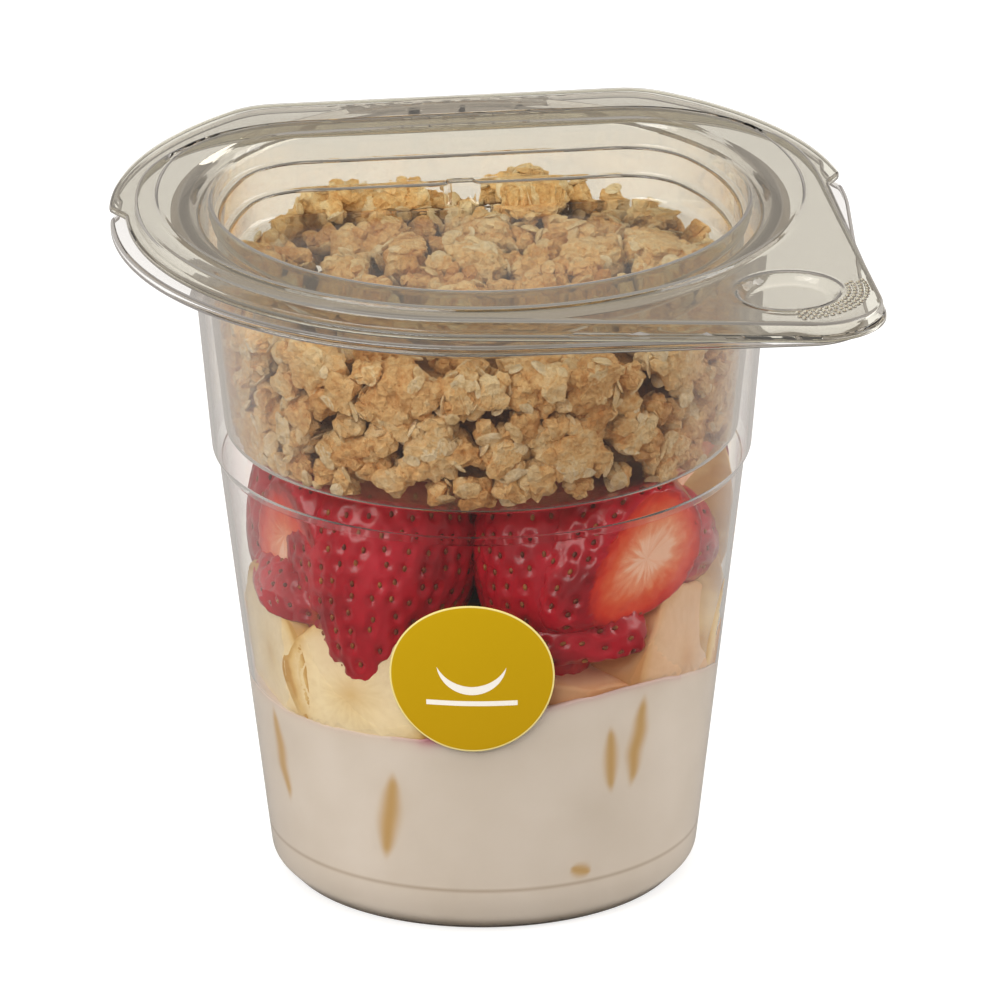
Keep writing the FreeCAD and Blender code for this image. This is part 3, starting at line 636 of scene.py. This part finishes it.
def stripe(point):
    """How much of a sunk slice shows through the yogurt at a point on the wall."""
    most = 0.0
    angle = math.atan2(point.y, point.x)
    for place, height, lean, width, thickness in SUNK_SLICES:
        turn = (angle - math.radians(place) + math.pi) % TAU - math.pi
        side, up = turn * math.hypot(point.x, point.y), point.z - height
        lean = math.radians(lean)
        across = side * math.cos(lean) + up * math.sin(lean)
        along = up * math.cos(lean) - side * math.sin(lean)
        across += 0.5 * noise.noise(Vector((along * 0.25, place, 0.0)))
        share = abs(along) / (0.38 * width)
        half = 0.34 * thickness * (1.0 - 0.75 * share * share) if share < 1.15 else 0.05
        beside = 1.0 - ease(half * 0.1, half * 2.1, abs(across))
        most = max(most, beside * (1.0 - ease(0.72, 1.12, share)))
    return most


def yogurt_edge(angle):
    """Height of the yogurt's edge on the wall."""
    degrees = (math.degrees(angle) + 180.0) % 360.0 - 180.0
    ripple = 0.35 * noise.noise(polar(6.0, angle, 3.0))
    return interpolate(YOGURT_EDGE, degrees) + ripple


def make_yogurt():
    """Yogurt that wets the cup's base and wall up to its wavy edge, and dips towards the middle."""
    bm = bmesh.new()
    outside = [(0.0, 1.7), (24.4, 1.7), (26.2, 0.55), (29.4, 0.55), (31.3, 1.5), (32.35, 3.2),
               (32.93, 7.5)]
    rows, inner_rows = 60, 14
    total = len(outside) + rows + inner_rows

    def place(u, v):
        angle = u * TAU
        index = round(v * (total - 1))
        top = yogurt_edge(angle)
        if index < len(outside):
            reach, z = outside[index]
        elif index < len(outside) + rows:
            share = (index - len(outside) + 1) / rows
            z = mix(7.5, top, share)
            reach = wall_reach(z)
        else:
            share = (index - len(outside) - rows + 1) / inner_rows
            reach = wall_reach(top) * (1.0 - share)
            dip = 0.72 * math.sin(math.pi * min(share * 1.4, 1.0))
            wave = 0.8 * noise.noise(polar(reach / 9.0, angle, 5.0)) * ease(0, 0.2, share)
            z = mix(top, 34.5, ease(0.0, 0.8, share)) - dip + wave
            if index == len(outside) + rows:
                reach = wall_reach(top) - 0.5
                z = top - 0.05
        return polar(reach, angle, z)

    wrapped(bm, 540, total - 1, place)
    facing_out(bm)
    stain = bm.verts.layers.float.new("stain")
    sunk = bm.verts.layers.float.new("sunk")
    for vert in bm.verts:
        angle = math.degrees(math.atan2(vert.co.y, vert.co.x))
        high = vert.co.z - yogurt_edge(math.radians(angle))
        near = math.exp(-((angle + 108.0) / 4.0) ** 2) * math.exp(-((high + 0.2) / 1.3) ** 2)
        line = 0.35 * math.exp(-(high / 0.8) ** 2) * (1.0 if -120 < angle < -40 else 0.4)
        vert[stain] = min(1.0, near + line)
        vert[sunk] = stripe(vert.co)
    put("yogurt_fill", bm, [YOGURT], ("yogurt",), "yogurt")


# ---- strawberries
# Each row: node, angle about the cup, reach, height of its middle, axis towards the hull
# (outward, sideways, up), length, width, cut planes as (normal, offset), mesh spacing.
STRAWBERRIES = [
    ("strawberry_front_left", -136, 24.4, 55.8, (-0.34, -0.2, 0.92), 40, 30.5, (), 0.55),
    ("strawberry_front_middle", -72, 23.8, 56, (-0.28, 0.06, 0.95), 37, 23.5, (), 0.55),
    ("strawberry_cut_right", -56, 30, 60.6, (-0.1, 0.8, 0.5), 31, 28,
     (((1, 0.05, -0.1), 7.2),), 0.5),
    ("strawberry_strip_right", -66, 28.4, 48, (0.02, 1, 0.2), 27, 17,
     (((0.1, 0, -1), 3.4), ((0.1, 1, 0.1), 8.6)), 0.55),
    ("strawberry_end_right", -26, 28.2, 56, (-0.05, 1, 0), 25, 19, (), 0.6),
    ("strawberry_cut_left", -157, 28.6, 60.5, (0.1, -0.1, -1), 29, 24,
     (((1, 0, -0.1), 6.4),), 0.55),
    ("strawberry_strip_left", -158, 30.2, 51.6, (0.02, 1, -0.04), 28, 15,
     (((0.1, 0.1, -1), 3.8),), 0.55),
    ("strawberry_low_middle", -110, 28.4, 40.4, (0, 1, 0.3), 22, 13, (), 0.7),
    ("strawberry_cut_far_right", -10, 28.6, 64.5, (0, 0.5, 0.85), 26, 22,
     (((0.85, -0.55, 0.1), 4),), 0.6),
    ("strawberry_back_right", 28, 24.4, 57, (-0.25, 0.1, 0.96), 35, 27, (), 0.7),
    ("strawberry_cut_back_right", 63, 27, 59.5, (0, -0.5, 0.85), 28, 25,
     (((1, 0, 0), 6.2),), 0.65),
    ("strawberry_back", 98, 23.8, 57.5, (-0.3, -0.1, 0.95), 36, 28, (), 0.7),
    ("strawberry_cut_back_left", 134, 27, 60, (0, 0.7, 0.7), 28, 25,
     (((1, 0.1, 0), 6.2),), 0.65),
    ("strawberry_left", 170, 24.6, 58.5, (-0.2, 0.15, -0.97), 34, 26, (), 0.7),
]


def local_axes(angle, axis):
    """Turns an axis given outward, sideways and up at an angle about the cup into the frame."""
    turn = math.radians(angle)
    outward = polar(1.0, turn)
    sideways = Vector((-math.sin(turn), math.cos(turn), 0.0))
    return (outward * axis[0] + sideways * axis[1] + Vector((0, 0, axis[2]))).normalized()


def seated(angle, reach, height):
    """A place about the cup, its angle in degrees."""
    return local_axes(angle, (1, 0, 0)) * reach + Vector((0, 0, height))


def berry_width(share):
    """Half-width along a berry from its tip (0) to its hull (1), as a share of the widest."""
    if share < 0.66:
        return (1.0 - (1.0 - share / 0.66) ** 1.7) ** 0.72
    late = (share - 0.66) / 0.34
    return mix(1.0, 0.36, late ** 2.4)


def seed_spots(length, width, rng):
    """Seats for seeds as (share, angle), in staggered rings, closer towards the tip."""
    spots, along, row = [], 2.0, 0
    while along < length - 2.2:
        share = along / length
        radius = berry_width(share) * width / 2.0
        count = max(3, round(TAU * radius / 3.5))
        for index in range(count):
            angle = (index + 0.5 * (row % 2) + rng.uniform(-0.22, 0.22)) * TAU / count
            far = min(max(along + rng.uniform(-0.5, 0.5), 1.2), length - 2.0)
            spots.append((far / length, angle))
        along += 2.3 + 0.7 * share
        row += 1
    return spots


def hold_in_cup(point, lift):
    """Presses a point back to the wall and the insert's floor; lift keeps touching skins apart.

    Below the yogurt's edge the fruit stays just behind the yogurt.
    """
    z = min(point.z, FRUIT_CEILING + lift)
    edge = yogurt_edge(math.atan2(point.y, point.x))
    most = wall_reach(z) + mix(-0.5, lift, ease(edge - 0.35, edge + 0.25, z))
    return pressed_in(point, most, z)


def make_strawberry(row, dome, rng, lift):
    """A berry from tip to hull: dented skin, flat cut faces, and a seed in each dent."""
    name, angle, reach, height, axis, length, width, cuts, spacing = row
    bm = bmesh.new()
    around = max(36, round(math.pi * width / spacing))
    along = max(24, round(1.25 * length / spacing))
    body = 0.94  # the share of the rows that run along the berry; the rest close its hull
    shares = [0.5 * (1.0 - math.cos(math.pi * min(index / along / body, 1.0)))
              for index in range(along + 1)]
    closing = along - int(along * body)
    bend = rng.uniform(-0.05, 0.05)
    squash = rng.uniform(0.9, 1.0)
    seed = drawn(rng, 0, 50)

    def skin(share, turn, inset=1.0):
        radius = berry_width(share) * width / 2.0 * inset
        lumps = 1.0 + 0.07 * noise.noise(seed + polar(1.0, turn, share * 1.6))
        lumps += 0.03 * math.cos(3 * turn + seed.x)
        side = bend * width * math.sin(math.pi * share)
        return Vector((radius * lumps * math.cos(turn) + side,
                       radius * lumps * squash * math.sin(turn), length * share))

    def place(u, v):
        index = round(v * along)
        turn = u * TAU
        share = shares[index]
        if index <= along - closing:
            return skin(share, turn)
        late = (index - (along - closing)) / closing
        sunk = 0.8 * math.sin(late * math.pi * 0.5)
        return skin(1.0, turn, 1.0 - late) - Vector((0, 0, sunk))

    berry = bm.verts.layers.float_vector.new("berry")
    cut = bm.verts.layers.float.new("cut")
    verts = wrapped(bm, around, along, place)
    spots = seed_spots(length, width, rng)
    tree = kdtree.KDTree(len(spots))
    seats = [(skin(share, turn), turn, share) for share, turn in spots]
    for index, seat in enumerate(seats):
        tree.insert(seat[0], index)
    tree.balance()
    facing_out(bm)
    bm.normal_update()
    moves = []
    for vert in verts:
        _, _, off = tree.find(vert.co)
        dent = 0.72 * (1.0 - ease(0.2, 1.35, off)) - 0.14 * (1.0 - ease(1.2, 2.1, off))
        fine = 0.10 * noise.noise(vert.co * 0.55 + seed)
        moves.append(vert.co + vert.normal * (fine - dent))
    for vert, moved in zip(verts, moves):
        vert.co = moved

    upward = local_axes(angle, axis)
    middle = seated(angle, reach, height)
    turn = upward.to_track_quat("Z", "Y").to_matrix()
    offset = middle - upward * (length * 0.55)
    back = turn.transposed()

    planes = []
    for normal, depth in cuts:
        facing = local_axes(angle, normal)
        planes.append((facing, depth, Vector((0, 0, 1)).cross(back @ facing).normalized()))
    for vert in verts:
        vert.co = turn @ vert.co + offset
        across = None
        for normal, depth, sideways in planes:
            over = (vert.co - middle).dot(normal) - depth
            if over > 0.0:
                ripple = 0.16 * noise.noise(vert.co * 0.35 + seed)
                vert.co = vert.co - normal * (over - ripple)
                across = sideways
        # depth under the skin, direction about the heart, and place from tip to hull
        inside = back @ (vert.co - offset)
        share = min(max(inside.z / length, 0.0), 1.0)
        wide = berry_width(share) * width / 2.0
        under = min(wide - math.hypot(inside.x, inside.y / squash),
                    (length - inside.z) * 1.3 + 0.6)
        if across is None:
            about = math.atan2(inside.y, inside.x)
        else:
            about = math.atan2(inside.dot(across), inside.z - length * 0.56)
        vert[berry] = (min(max(under / 6.0, 0.0), 1.0), about, share)
        vert[cut] = 1.0 if across is not None or share > 0.985 else 0.0
        vert.co = hold_in_cup(vert.co, lift)
    seeds = bmesh.new()
    for seat, spin, share in seats:
        here = turn @ seat + offset
        out = turn @ polar(1.0, spin)
        if any((here - middle).dot(normal) > depth - 0.2 for normal, depth, _ in planes):
            continue
        out = (out - upward * (0.75 - 1.1 * share)).normalized()
        held = hold_in_cup(here, lift)
        if (held - here).length > 1.2:
            continue
        side = out.cross(upward).normalized()
        lengthways = side.cross(out)
        for vert in copy_in(seeds, dome):
            x, y, z = vert.co
            spot = (held - out * 0.40 + side * (x * 0.34) + lengthways * (y * 0.52)
                    + out * (z * 0.26))
            vert.co = hold_in_cup(spot, lift + 0.02)
    for face in seeds.faces:
        face.material_index = 1
    loose = settled(seeds, "seeds")
    bm.from_mesh(loose)
    bpy.data.meshes.remove(loose)
    facing_out(bm)
    put(name.replace("strawberry_", "berry_"), bm, [BERRY, SEED], (name,),
        "strawberry_cut" if "_cut_" in name else "strawberry")


def make_strawberries():
    rng = random.Random(41)
    dome = ball(2)
    for index, row in enumerate(STRAWBERRIES):
        make_strawberry(row, dome, rng, 0.16 - 0.006 * index)
    bpy.data.meshes.remove(dome)


# ---- bananas
# Each row: node, angle, reach, height, the way its face looks, width, thickness, berry stain.
BANANAS = [
    ("banana_front_left", -132, 30.4, 38.6, (1, 0.18, 0.1), 27, 12, 0),
    ("banana_far_left", -163, 29.6, 41, (1, -0.1, -0.1), 28, 12, 0),
    ("banana_front_right", -38, 30.4, 39.8, (1, 0.1, 0.12), 26, 12, 0.45),
    ("banana_far_right", -10, 28.6, 42, (1, 0.25, -0.15), 26, 12, 0.05),
    ("banana_low_right", -66, 25, 39.6, (0.3, 0.1, 1), 25, 9, 0.6),
    ("banana_tall_right", 6, 31, 57, (1, 0.1, -0.12), 27, 10, 0.15),
    ("banana_back_right", 22, 28, 39, (1, -0.1, 0.3), 26, 12, 0),
    ("banana_back_middle_right", 55, 28.6, 41.5, (1, 0.2, 0), 25, 12, 0.15),
    ("banana_back", 88, 28, 40.5, (1, -0.2, 0.2), 26, 12, 0),
    ("banana_back_middle_left", 121, 28.4, 43, (1, 0.15, -0.1), 25, 12, 0.2),
    ("banana_back_left", 156, 28, 42, (1, -0.15, 0.2), 26, 12, 0),
]


def banana_slice(name, row, rng, lift, around=84):
    """A slice with a rounded edge, a little out of round, its faces faintly wavy."""
    node, angle, reach, height, face, width, thickness, blush = row
    bm = bmesh.new()
    half, radius = thickness / 2.0, width / 2.0
    edge = min(0.7, half * 0.6)
    profile = [(share * (radius - edge), half)
               for share in (0.0, 0.15, 0.3, 0.45, 0.6, 0.75, 0.9, 1.0)]
    profile += [(radius - edge + edge * math.sin(a), half - edge + edge * math.cos(a))
                for a in (0.4, 0.8, 1.2, 1.57)]
    profile += [(radius, half - edge - share * (thickness - 2.0 * edge))
                for share in (0.25, 0.5, 0.75)]
    profile += [(r, -z) for r, z in reversed(profile[:12])]
    seed, flatter = drawn(rng, 0, 50), 0.92
    layer = bm.verts.layers.float_vector.new("slice")

    def place(u, v):
        r, z = profile[round(v * (len(profile) - 1))]
        turn = u * TAU
        side = r * (1.0 + 0.035 * math.cos(5 * turn + seed.x)
                    + 0.05 * fractal(seed + polar(1.0, turn) * 1.4))
        return Vector((side * math.cos(turn), side * math.sin(turn) * flatter, z))

    verts = wrapped(bm, around, len(profile) - 1, place)
    turn = local_axes(angle, face).to_track_quat("Z", "Y").to_matrix()
    middle = seated(angle, reach, height)
    for vert in verts:
        ratio = math.hypot(vert.co.x, vert.co.y / flatter) / radius
        vert[layer] = (ratio, math.atan2(vert.co.y, vert.co.x), blush)
        wave = 0.35 * noise.noise(vert.co * 0.18 + seed) + 0.12 * noise.noise(vert.co * 0.6 + seed)
        vert.co = hold_in_cup(turn @ (vert.co + Vector((0, 0, wave))) + middle, lift)
    facing_out(bm)
    put(name, bm, [BANANA], (node,) if node else (), "banana")


def make_bananas():
    rng = random.Random(7)
    for index, row in enumerate(BANANAS):
        banana_slice(row[0].replace("banana_", "slice_"), row, rng, 0.07 - 0.004 * index)
    for index, (angle, height, tilt, width, thickness) in enumerate(SUNK_SLICES):
        sunk = wall_reach(height) - width * 0.46 - 0.25
        lean = math.radians(tilt)
        row = (None, angle, sunk, height, (0.0, math.cos(lean), math.sin(lean)), width,
               thickness, 0.0)
        banana_slice("sunk_slice_%d" % index, row, rng, -0.15, 96)


# ---- granola
def make_granola():
    """Baked clusters packed against the insert and heaped at the top, crumbs and flakes on them."""
    rng = random.Random(19)
    draw = rng.uniform
    floor = INSERT_FLOOR + SHEET
    rest = floor + 0.15
    under_lid = d_edge(39.7, 25.8, 11.4)
    slope = 4.1 / (LID_SEAT - floor)

    def reach_at(z):
        """The insert's inner radius, less a little."""
        return 39.05 + slope * (z - floor)

    def top_at(x, y):
        base = 92.4 + 1.8 * y / 39.7
        peaks = sum(rise * math.exp(-((x - px) ** 2 + (y - py) ** 2) / 50.0)
                    for px, py, rise in ((-19.0, 33.0, 6.5), (12.0, 33.0, 7.5), (33.0, 18.0, 5.0)))
        return base + peaks + 2.0 * fractal(Vector((x / 11.0, y / 11.0, 2.0)))

    def hold(point):
        """Keeps a point above the insert's floor, inside its wall and under the lid."""
        z = max(point.z, rest)
        flat = math.hypot(point.x, point.y)
        ceiling = 97.9 if under_lid(math.atan2(point.y, point.x)) > flat else 101.5
        if z > ceiling - 1.5:
            z = ceiling - 1.5 * math.exp((ceiling - 1.5 - z) / 1.5)
        return pressed_in(point, reach_at(z) - 0.22, z)

    def painted_gap_shade(point):
        """How far down between the clusters a point lies, which sets the painted shade there: 0 at
        the heap's face, 1 in the dark.
        """
        inward = reach_at(point.z) - math.hypot(point.x, point.y)
        below = top_at(point.x, point.y) + 3.0 - point.z
        return ease(1.6, 6.0, min(inward, below, point.z - rest + 1.2))

    def done(bm, name, material, tones_and_shade, node=()):
        layer = bm.verts.layers.float_vector.new("crumb")
        for vert, tone in zip(bm.verts, tones_and_shade):
            vert[layer] = (tone, painted_gap_shade(vert.co), 0.0)
        facing_out(bm)
        put(name, bm, [material], node, "granola", False)

    bm = bmesh.new()
    core = [(0.0, 74.6), (31.0, 74.6), (33.4, 76.0), (34.4, 80.0), (35.4, 85.0), (34.6, 88.0),
            (31.0, 89.4), (24.0, 89.8), (12.0, 89.8), (0.0, 89.8)]

    def place(u, v):
        r, z = core[round(v * (len(core) - 1))]
        turn = u * TAU
        wave = 1.0 + 0.03 * noise.noise(polar(6.0, turn, z * 0.2))
        return polar(r * wave, turn, z)

    wrapped(bm, 96, len(core) - 1, place)
    done(bm, "granola_core", OATS, [0.0] * len(bm.verts), ("granola",))

    def spun(out):
        """Turned to look a way, and by a drawn angle about it."""
        facing = out.to_track_quat("Z", "Y").to_matrix()
        return facing @ Matrix.Rotation(draw(0, TAU), 3, "Z")

    def lump(bm, shape, tones_and_shade, centre, size):
        """One baked cluster: a ball pushed out into knobs."""
        stretch = Vector((draw(0.9, 1.3), draw(0.85, 1.15), draw(0.75, 1.0)))
        seed = drawn(rng, 0, 90)
        turn = Matrix.Rotation(draw(0, TAU), 3, Vector((draw(-1, 1), draw(-1, 1), 1)))
        tone = draw(-0.08, 0.08)
        made = copy_in(bm, shape)
        for vert in made:
            way = vert.co.normalized()
            point = way * size
            knob = 0.45 - noise.voronoi(point * 0.36 + seed)[0][0]
            radius = size * (0.92 + 0.35 * noise.noise(point * 0.13 + seed)) + 2.8 * knob
            radius += (0.55 * noise.noise(point * 0.9 + seed)
                       + 0.4 * noise.noise(point * 2.3 + seed))
            vert.co = hold(centre + turn @ (way * stretch) * radius)
            # painted shade: darker in the hollows between the knobs, on top of the cluster's own
            # tone
            tones_and_shade.append(tone - 0.12 * max(0.0, -knob))
        return made, tone

    spots = []

    def free_spot(pick, gap):
        for _ in range(60):
            spot = pick()
            if all((spot - other).length > gap for other in spots):
                spots.append(spot)
                return spot
        return None

    def wall_spot(back=(3.4, 4.6)):
        turn, z = draw(0, TAU), draw(76.5, 95.0)
        return polar(reach_at(z) - draw(*back), turn, z)

    def top_spot():
        turn, share = draw(0, TAU), math.sqrt(rng.random())
        x, y = 37.0 * share * math.cos(turn), 37.0 * share * math.sin(turn)
        return Vector((x, y, top_at(x, y) + draw(-1.2, 1.0)))

    def floor_spot():
        turn, reach = draw(0, TAU), reach_at(75.0) - draw(1.8, 3.2)
        return polar(reach, turn, draw(74.6, 76.2))

    outer_spot = functools.partial(wall_spot, (1.8, 2.8))

    def clusters(name, picks, count, gap, sizes, shape, per_lump):
        """Packs lumps; gives the places on them where crumbs and flakes can sit."""
        bm, tones_and_shade, found = bmesh.new(), [], []
        for index in range(count):
            spot = free_spot(picks[index % len(picks)], gap)
            if spot is None:
                continue
            made, tone = lump(bm, shape, tones_and_shade, spot, draw(*sizes))
            near = [v.co.copy() for v in made if painted_gap_shade(v.co) < 0.75]
            for site in rng.sample(near, min(per_lump, len(near))):
                found.append((site, (site - spot).normalized(), tone))
        done(bm, name, OATS, tones_and_shade)
        return found

    big, middling, little = ball(4), ball(3), ball(2)
    sites = clusters("granola_clusters", (wall_spot, wall_spot, top_spot), 96, 9.6,
                     (4.0, 5.8), big, 26)
    sites += clusters("granola_small_clusters", (outer_spot, top_spot, floor_spot, outer_spot),
                      330, 4.4, (1.8, 3.2), middling, 7)
    rng.shuffle(sites)

    crumbs, flakes = 2300, 1000
    bm, tones_and_shade = bmesh.new(), []
    for spot, out, tone in sites[:crumbs]:
        size = draw(0.6, 1.6)
        seed = drawn(rng, 0, 90)
        stretch = Vector((draw(0.8, 1.35), draw(0.75, 1.15), draw(0.6, 1.0)))
        turn = spun(out)
        tone += draw(-0.10, 0.14)
        for vert in copy_in(bm, little):
            way = vert.co.normalized()
            radius = size * (1.0 + 0.42 * noise.noise(way * 1.3 + seed)
                             + 0.3 * noise.noise(way * 3.4 + seed))
            vert.co = hold(spot - out * 0.3 + turn @ (way * stretch * radius))
            tones_and_shade.append(tone)
    done(bm, "granola_crumbs", OATS, tones_and_shade)

    bm, tones_and_shade = bmesh.new(), []
    for spot, out, tone in sites[crumbs:crumbs + flakes]:
        turn = spun((out + drawn(rng, -1, 1) * 0.5).normalized())
        long, wide, thin = draw(1.2, 2.3), draw(0.9, 1.6), draw(0.3, 0.5)
        curl = draw(-0.16, 0.16)
        for vert in copy_in(bm, little):
            x, y, z = vert.co
            bent = Vector((x * long, y * wide, z * thin + curl * x * x * long))
            vert.co = hold(spot + out * 0.35 + turn @ bent)
            tones_and_shade.append(tone + 0.06)
    done(bm, "granola_flakes", FLAKES, tones_and_shade)
    for mesh in (big, middling, little):
        bpy.data.meshes.remove(mesh)


make_cup()
make_insert()
make_lid()
make_grip()
make_label()
make_yogurt()
make_strawberries()
make_bananas()
make_granola()


# ---- floor, light and camera
def looked_at(node):
    """For a ray: 1 if seen straight or through clear plastic, and 1 until it meets a matt face."""
    path = node("LightPath").outputs
    plain = node("Math", {"operation": "LESS_THAN", 1: 0.5}, {0: path["Diffuse Depth"]})
    unturned = node("Math", {"operation": "LESS_THAN", 1: 0.5}, {0: path["Glossy Depth"]})
    either = node("Math", {"operation": "MAXIMUM"},
                  {0: path["Is Camera Ray"], 1: path["Is Transmission Ray"]})
    straight = node("Math", {"operation": "MULTIPLY"}, {0: unturned, 1: plain})
    return node("Math", {"operation": "MULTIPLY"}, {0: either, 1: straight}), plain


def pale_floor(node):
    """White to the eye, with the cup's shadow, and darker in reflections."""
    paint = node("BsdfPrincipled", {"Base Color": "B6B4B1", "Roughness": 0.8})
    glow = node("Emission", {"Color": "FFFFFF", "Strength": 0.66})
    seen, mirrored = looked_at(node)
    # in a reflection it pales from 40 mm before the cup's axis to 8 mm before it
    back = node("SeparateXYZ", {}, {0: node("TexCoord").outputs["Object"]}).outputs["Y"]
    place = node("Math", {"operation": "MULTIPLY_ADD", 1: 5.0, 2: 0.5}, {0: back})
    dark = node("ValToRGB", {"stops": ((0.3, "4A4846"), (0.46, "A8A4A0"))}, {0: place})
    dim = node("BsdfPrincipled", {"Roughness": 0.8}, {"Base Color": dark})
    plain = node("MixShader", {}, {0: mirrored, 1: paint, 2: dim})
    lit = node("AddShader", {}, {0: paint, 1: glow})
    return node("MixShader", {}, {0: seen, 1: plain, 2: lit})


def flat_floor():
    bm = bmesh.new()
    bmesh.ops.create_grid(bm, x_segments=1, y_segments=1, size=1.5)
    mesh = settled(bm, "floor")
    mesh.materials.append(finish("white_studio_floor", pale_floor))
    shown("floor", mesh)


def softbox(name, place, width, height, strength):
    """A square of soft light aimed at the cup, its strength that of its face."""
    lamp = bpy.data.lights.new(name, "AREA")
    lamp.shape = "RECTANGLE"
    lamp.size, lamp.size_y = width, height
    lamp.energy = strength * math.pi * width * height
    holder = shown(name, lamp)
    aim = Vector((0, 0, 0.06)) - Vector(place)
    holder.rotation_euler = aim.to_track_quat("-Z", "Y").to_euler()
    holder.location = place


def studio_room(node):
    """White to the eye and through clear plastic, soft light elsewhere, a room in reflections."""
    seen, reflected = looked_at(node)
    white = node("Background", {"Color": "FFFFFF", "Strength": 1.0})
    # what polished plastic mirrors: a broad pale panel behind, falling off to a dim front,
    # by the angle round from the label's side and by the height
    way = node("TexCoord").outputs["Generated"]
    front = node("VectorMath", {"operation": "DOT_PRODUCT", 1: (-0.113, -0.994, 0.0)}, {0: way})
    right = node("VectorMath", {"operation": "DOT_PRODUCT", 1: (0.994, -0.113, 0.0)}, {0: way})
    turn = node("Math", {"operation": "ARCTAN2"},
                {0: right.outputs["Value"], 1: front.outputs["Value"]})
    share = node("Math", {"operation": "MULTIPLY_ADD", 1: 1.0 / TAU, 2: 0.5}, {0: turn})
    room = node("ValToRGB", {"stops": (
        (0.0, "CFC9C4"), (0.12, "BDB7B3"), (0.26, "9A9593"), (0.33, "828082"),
        (0.66, "7A7877"), (0.74, "9A9593"), (0.88, "BDB7B3"), (1.0, "CFC9C4"))}, {0: share})
    rise = node("SeparateXYZ", {}, {0: way}).outputs["Z"]
    high = node("ValToRGB", {"stops": (
        (0.0, "FFFFFF"), (0.12, "FFFFFF"), (0.24, "BCBCBC"), (0.6, "BCBCBC"),
        (0.85, "E0E0E0"))}, {0: rise})
    room = node("Mix", {**MULTIPLIED, 0: 1.0}, {FIRST: room, SECOND: high}).outputs[RESULT]
    mirrored = node("Background", {"Strength": 1.0}, {"Color": room})
    soft = node("Background", {"Color": "FFFFFF", "Strength": 1.05})
    inner = node("MixShader", {}, {0: reflected, 1: soft, 2: mirrored})
    return node("MixShader", {}, {0: seen, 1: inner, 2: white})


def place_camera():
    """A long lens from the front, a little above."""
    target = Vector((2.75, -0.31, 59.43)) * MM
    turn, rise, far = math.radians(-6.5), math.radians(21.63), 5.4
    way = Vector((math.sin(turn) * math.cos(rise), -math.cos(turn) * math.cos(rise),
                  math.sin(rise)))
    lens = bpy.data.cameras.new("camera")
    lens.lens = 1254.0
    lens.sensor_width = 36.0
    lens.clip_end = 20.0
    camera = shown("camera", lens)
    camera.location = target + way * far
    aim = (-way).to_track_quat("-Z", "Y").to_matrix()
    roll = Matrix.Rotation(math.radians(-0.34), 3, "Z")
    camera.rotation_euler = (aim @ roll).to_euler()
    bpy.context.scene.camera = camera


flat_floor()
bpy.context.scene.world = laid_out(bpy.data.worlds.new("studio"), studio_room)
softbox("key_softbox", (-0.75, -0.75, 0.85), 0.9, 0.9, 3.2)
softbox("side_softbox", (1.0, -0.15, 0.55), 0.5, 0.9, 3.0)
place_camera()
bpy.context.scene.view_settings.view_transform = "Standard"
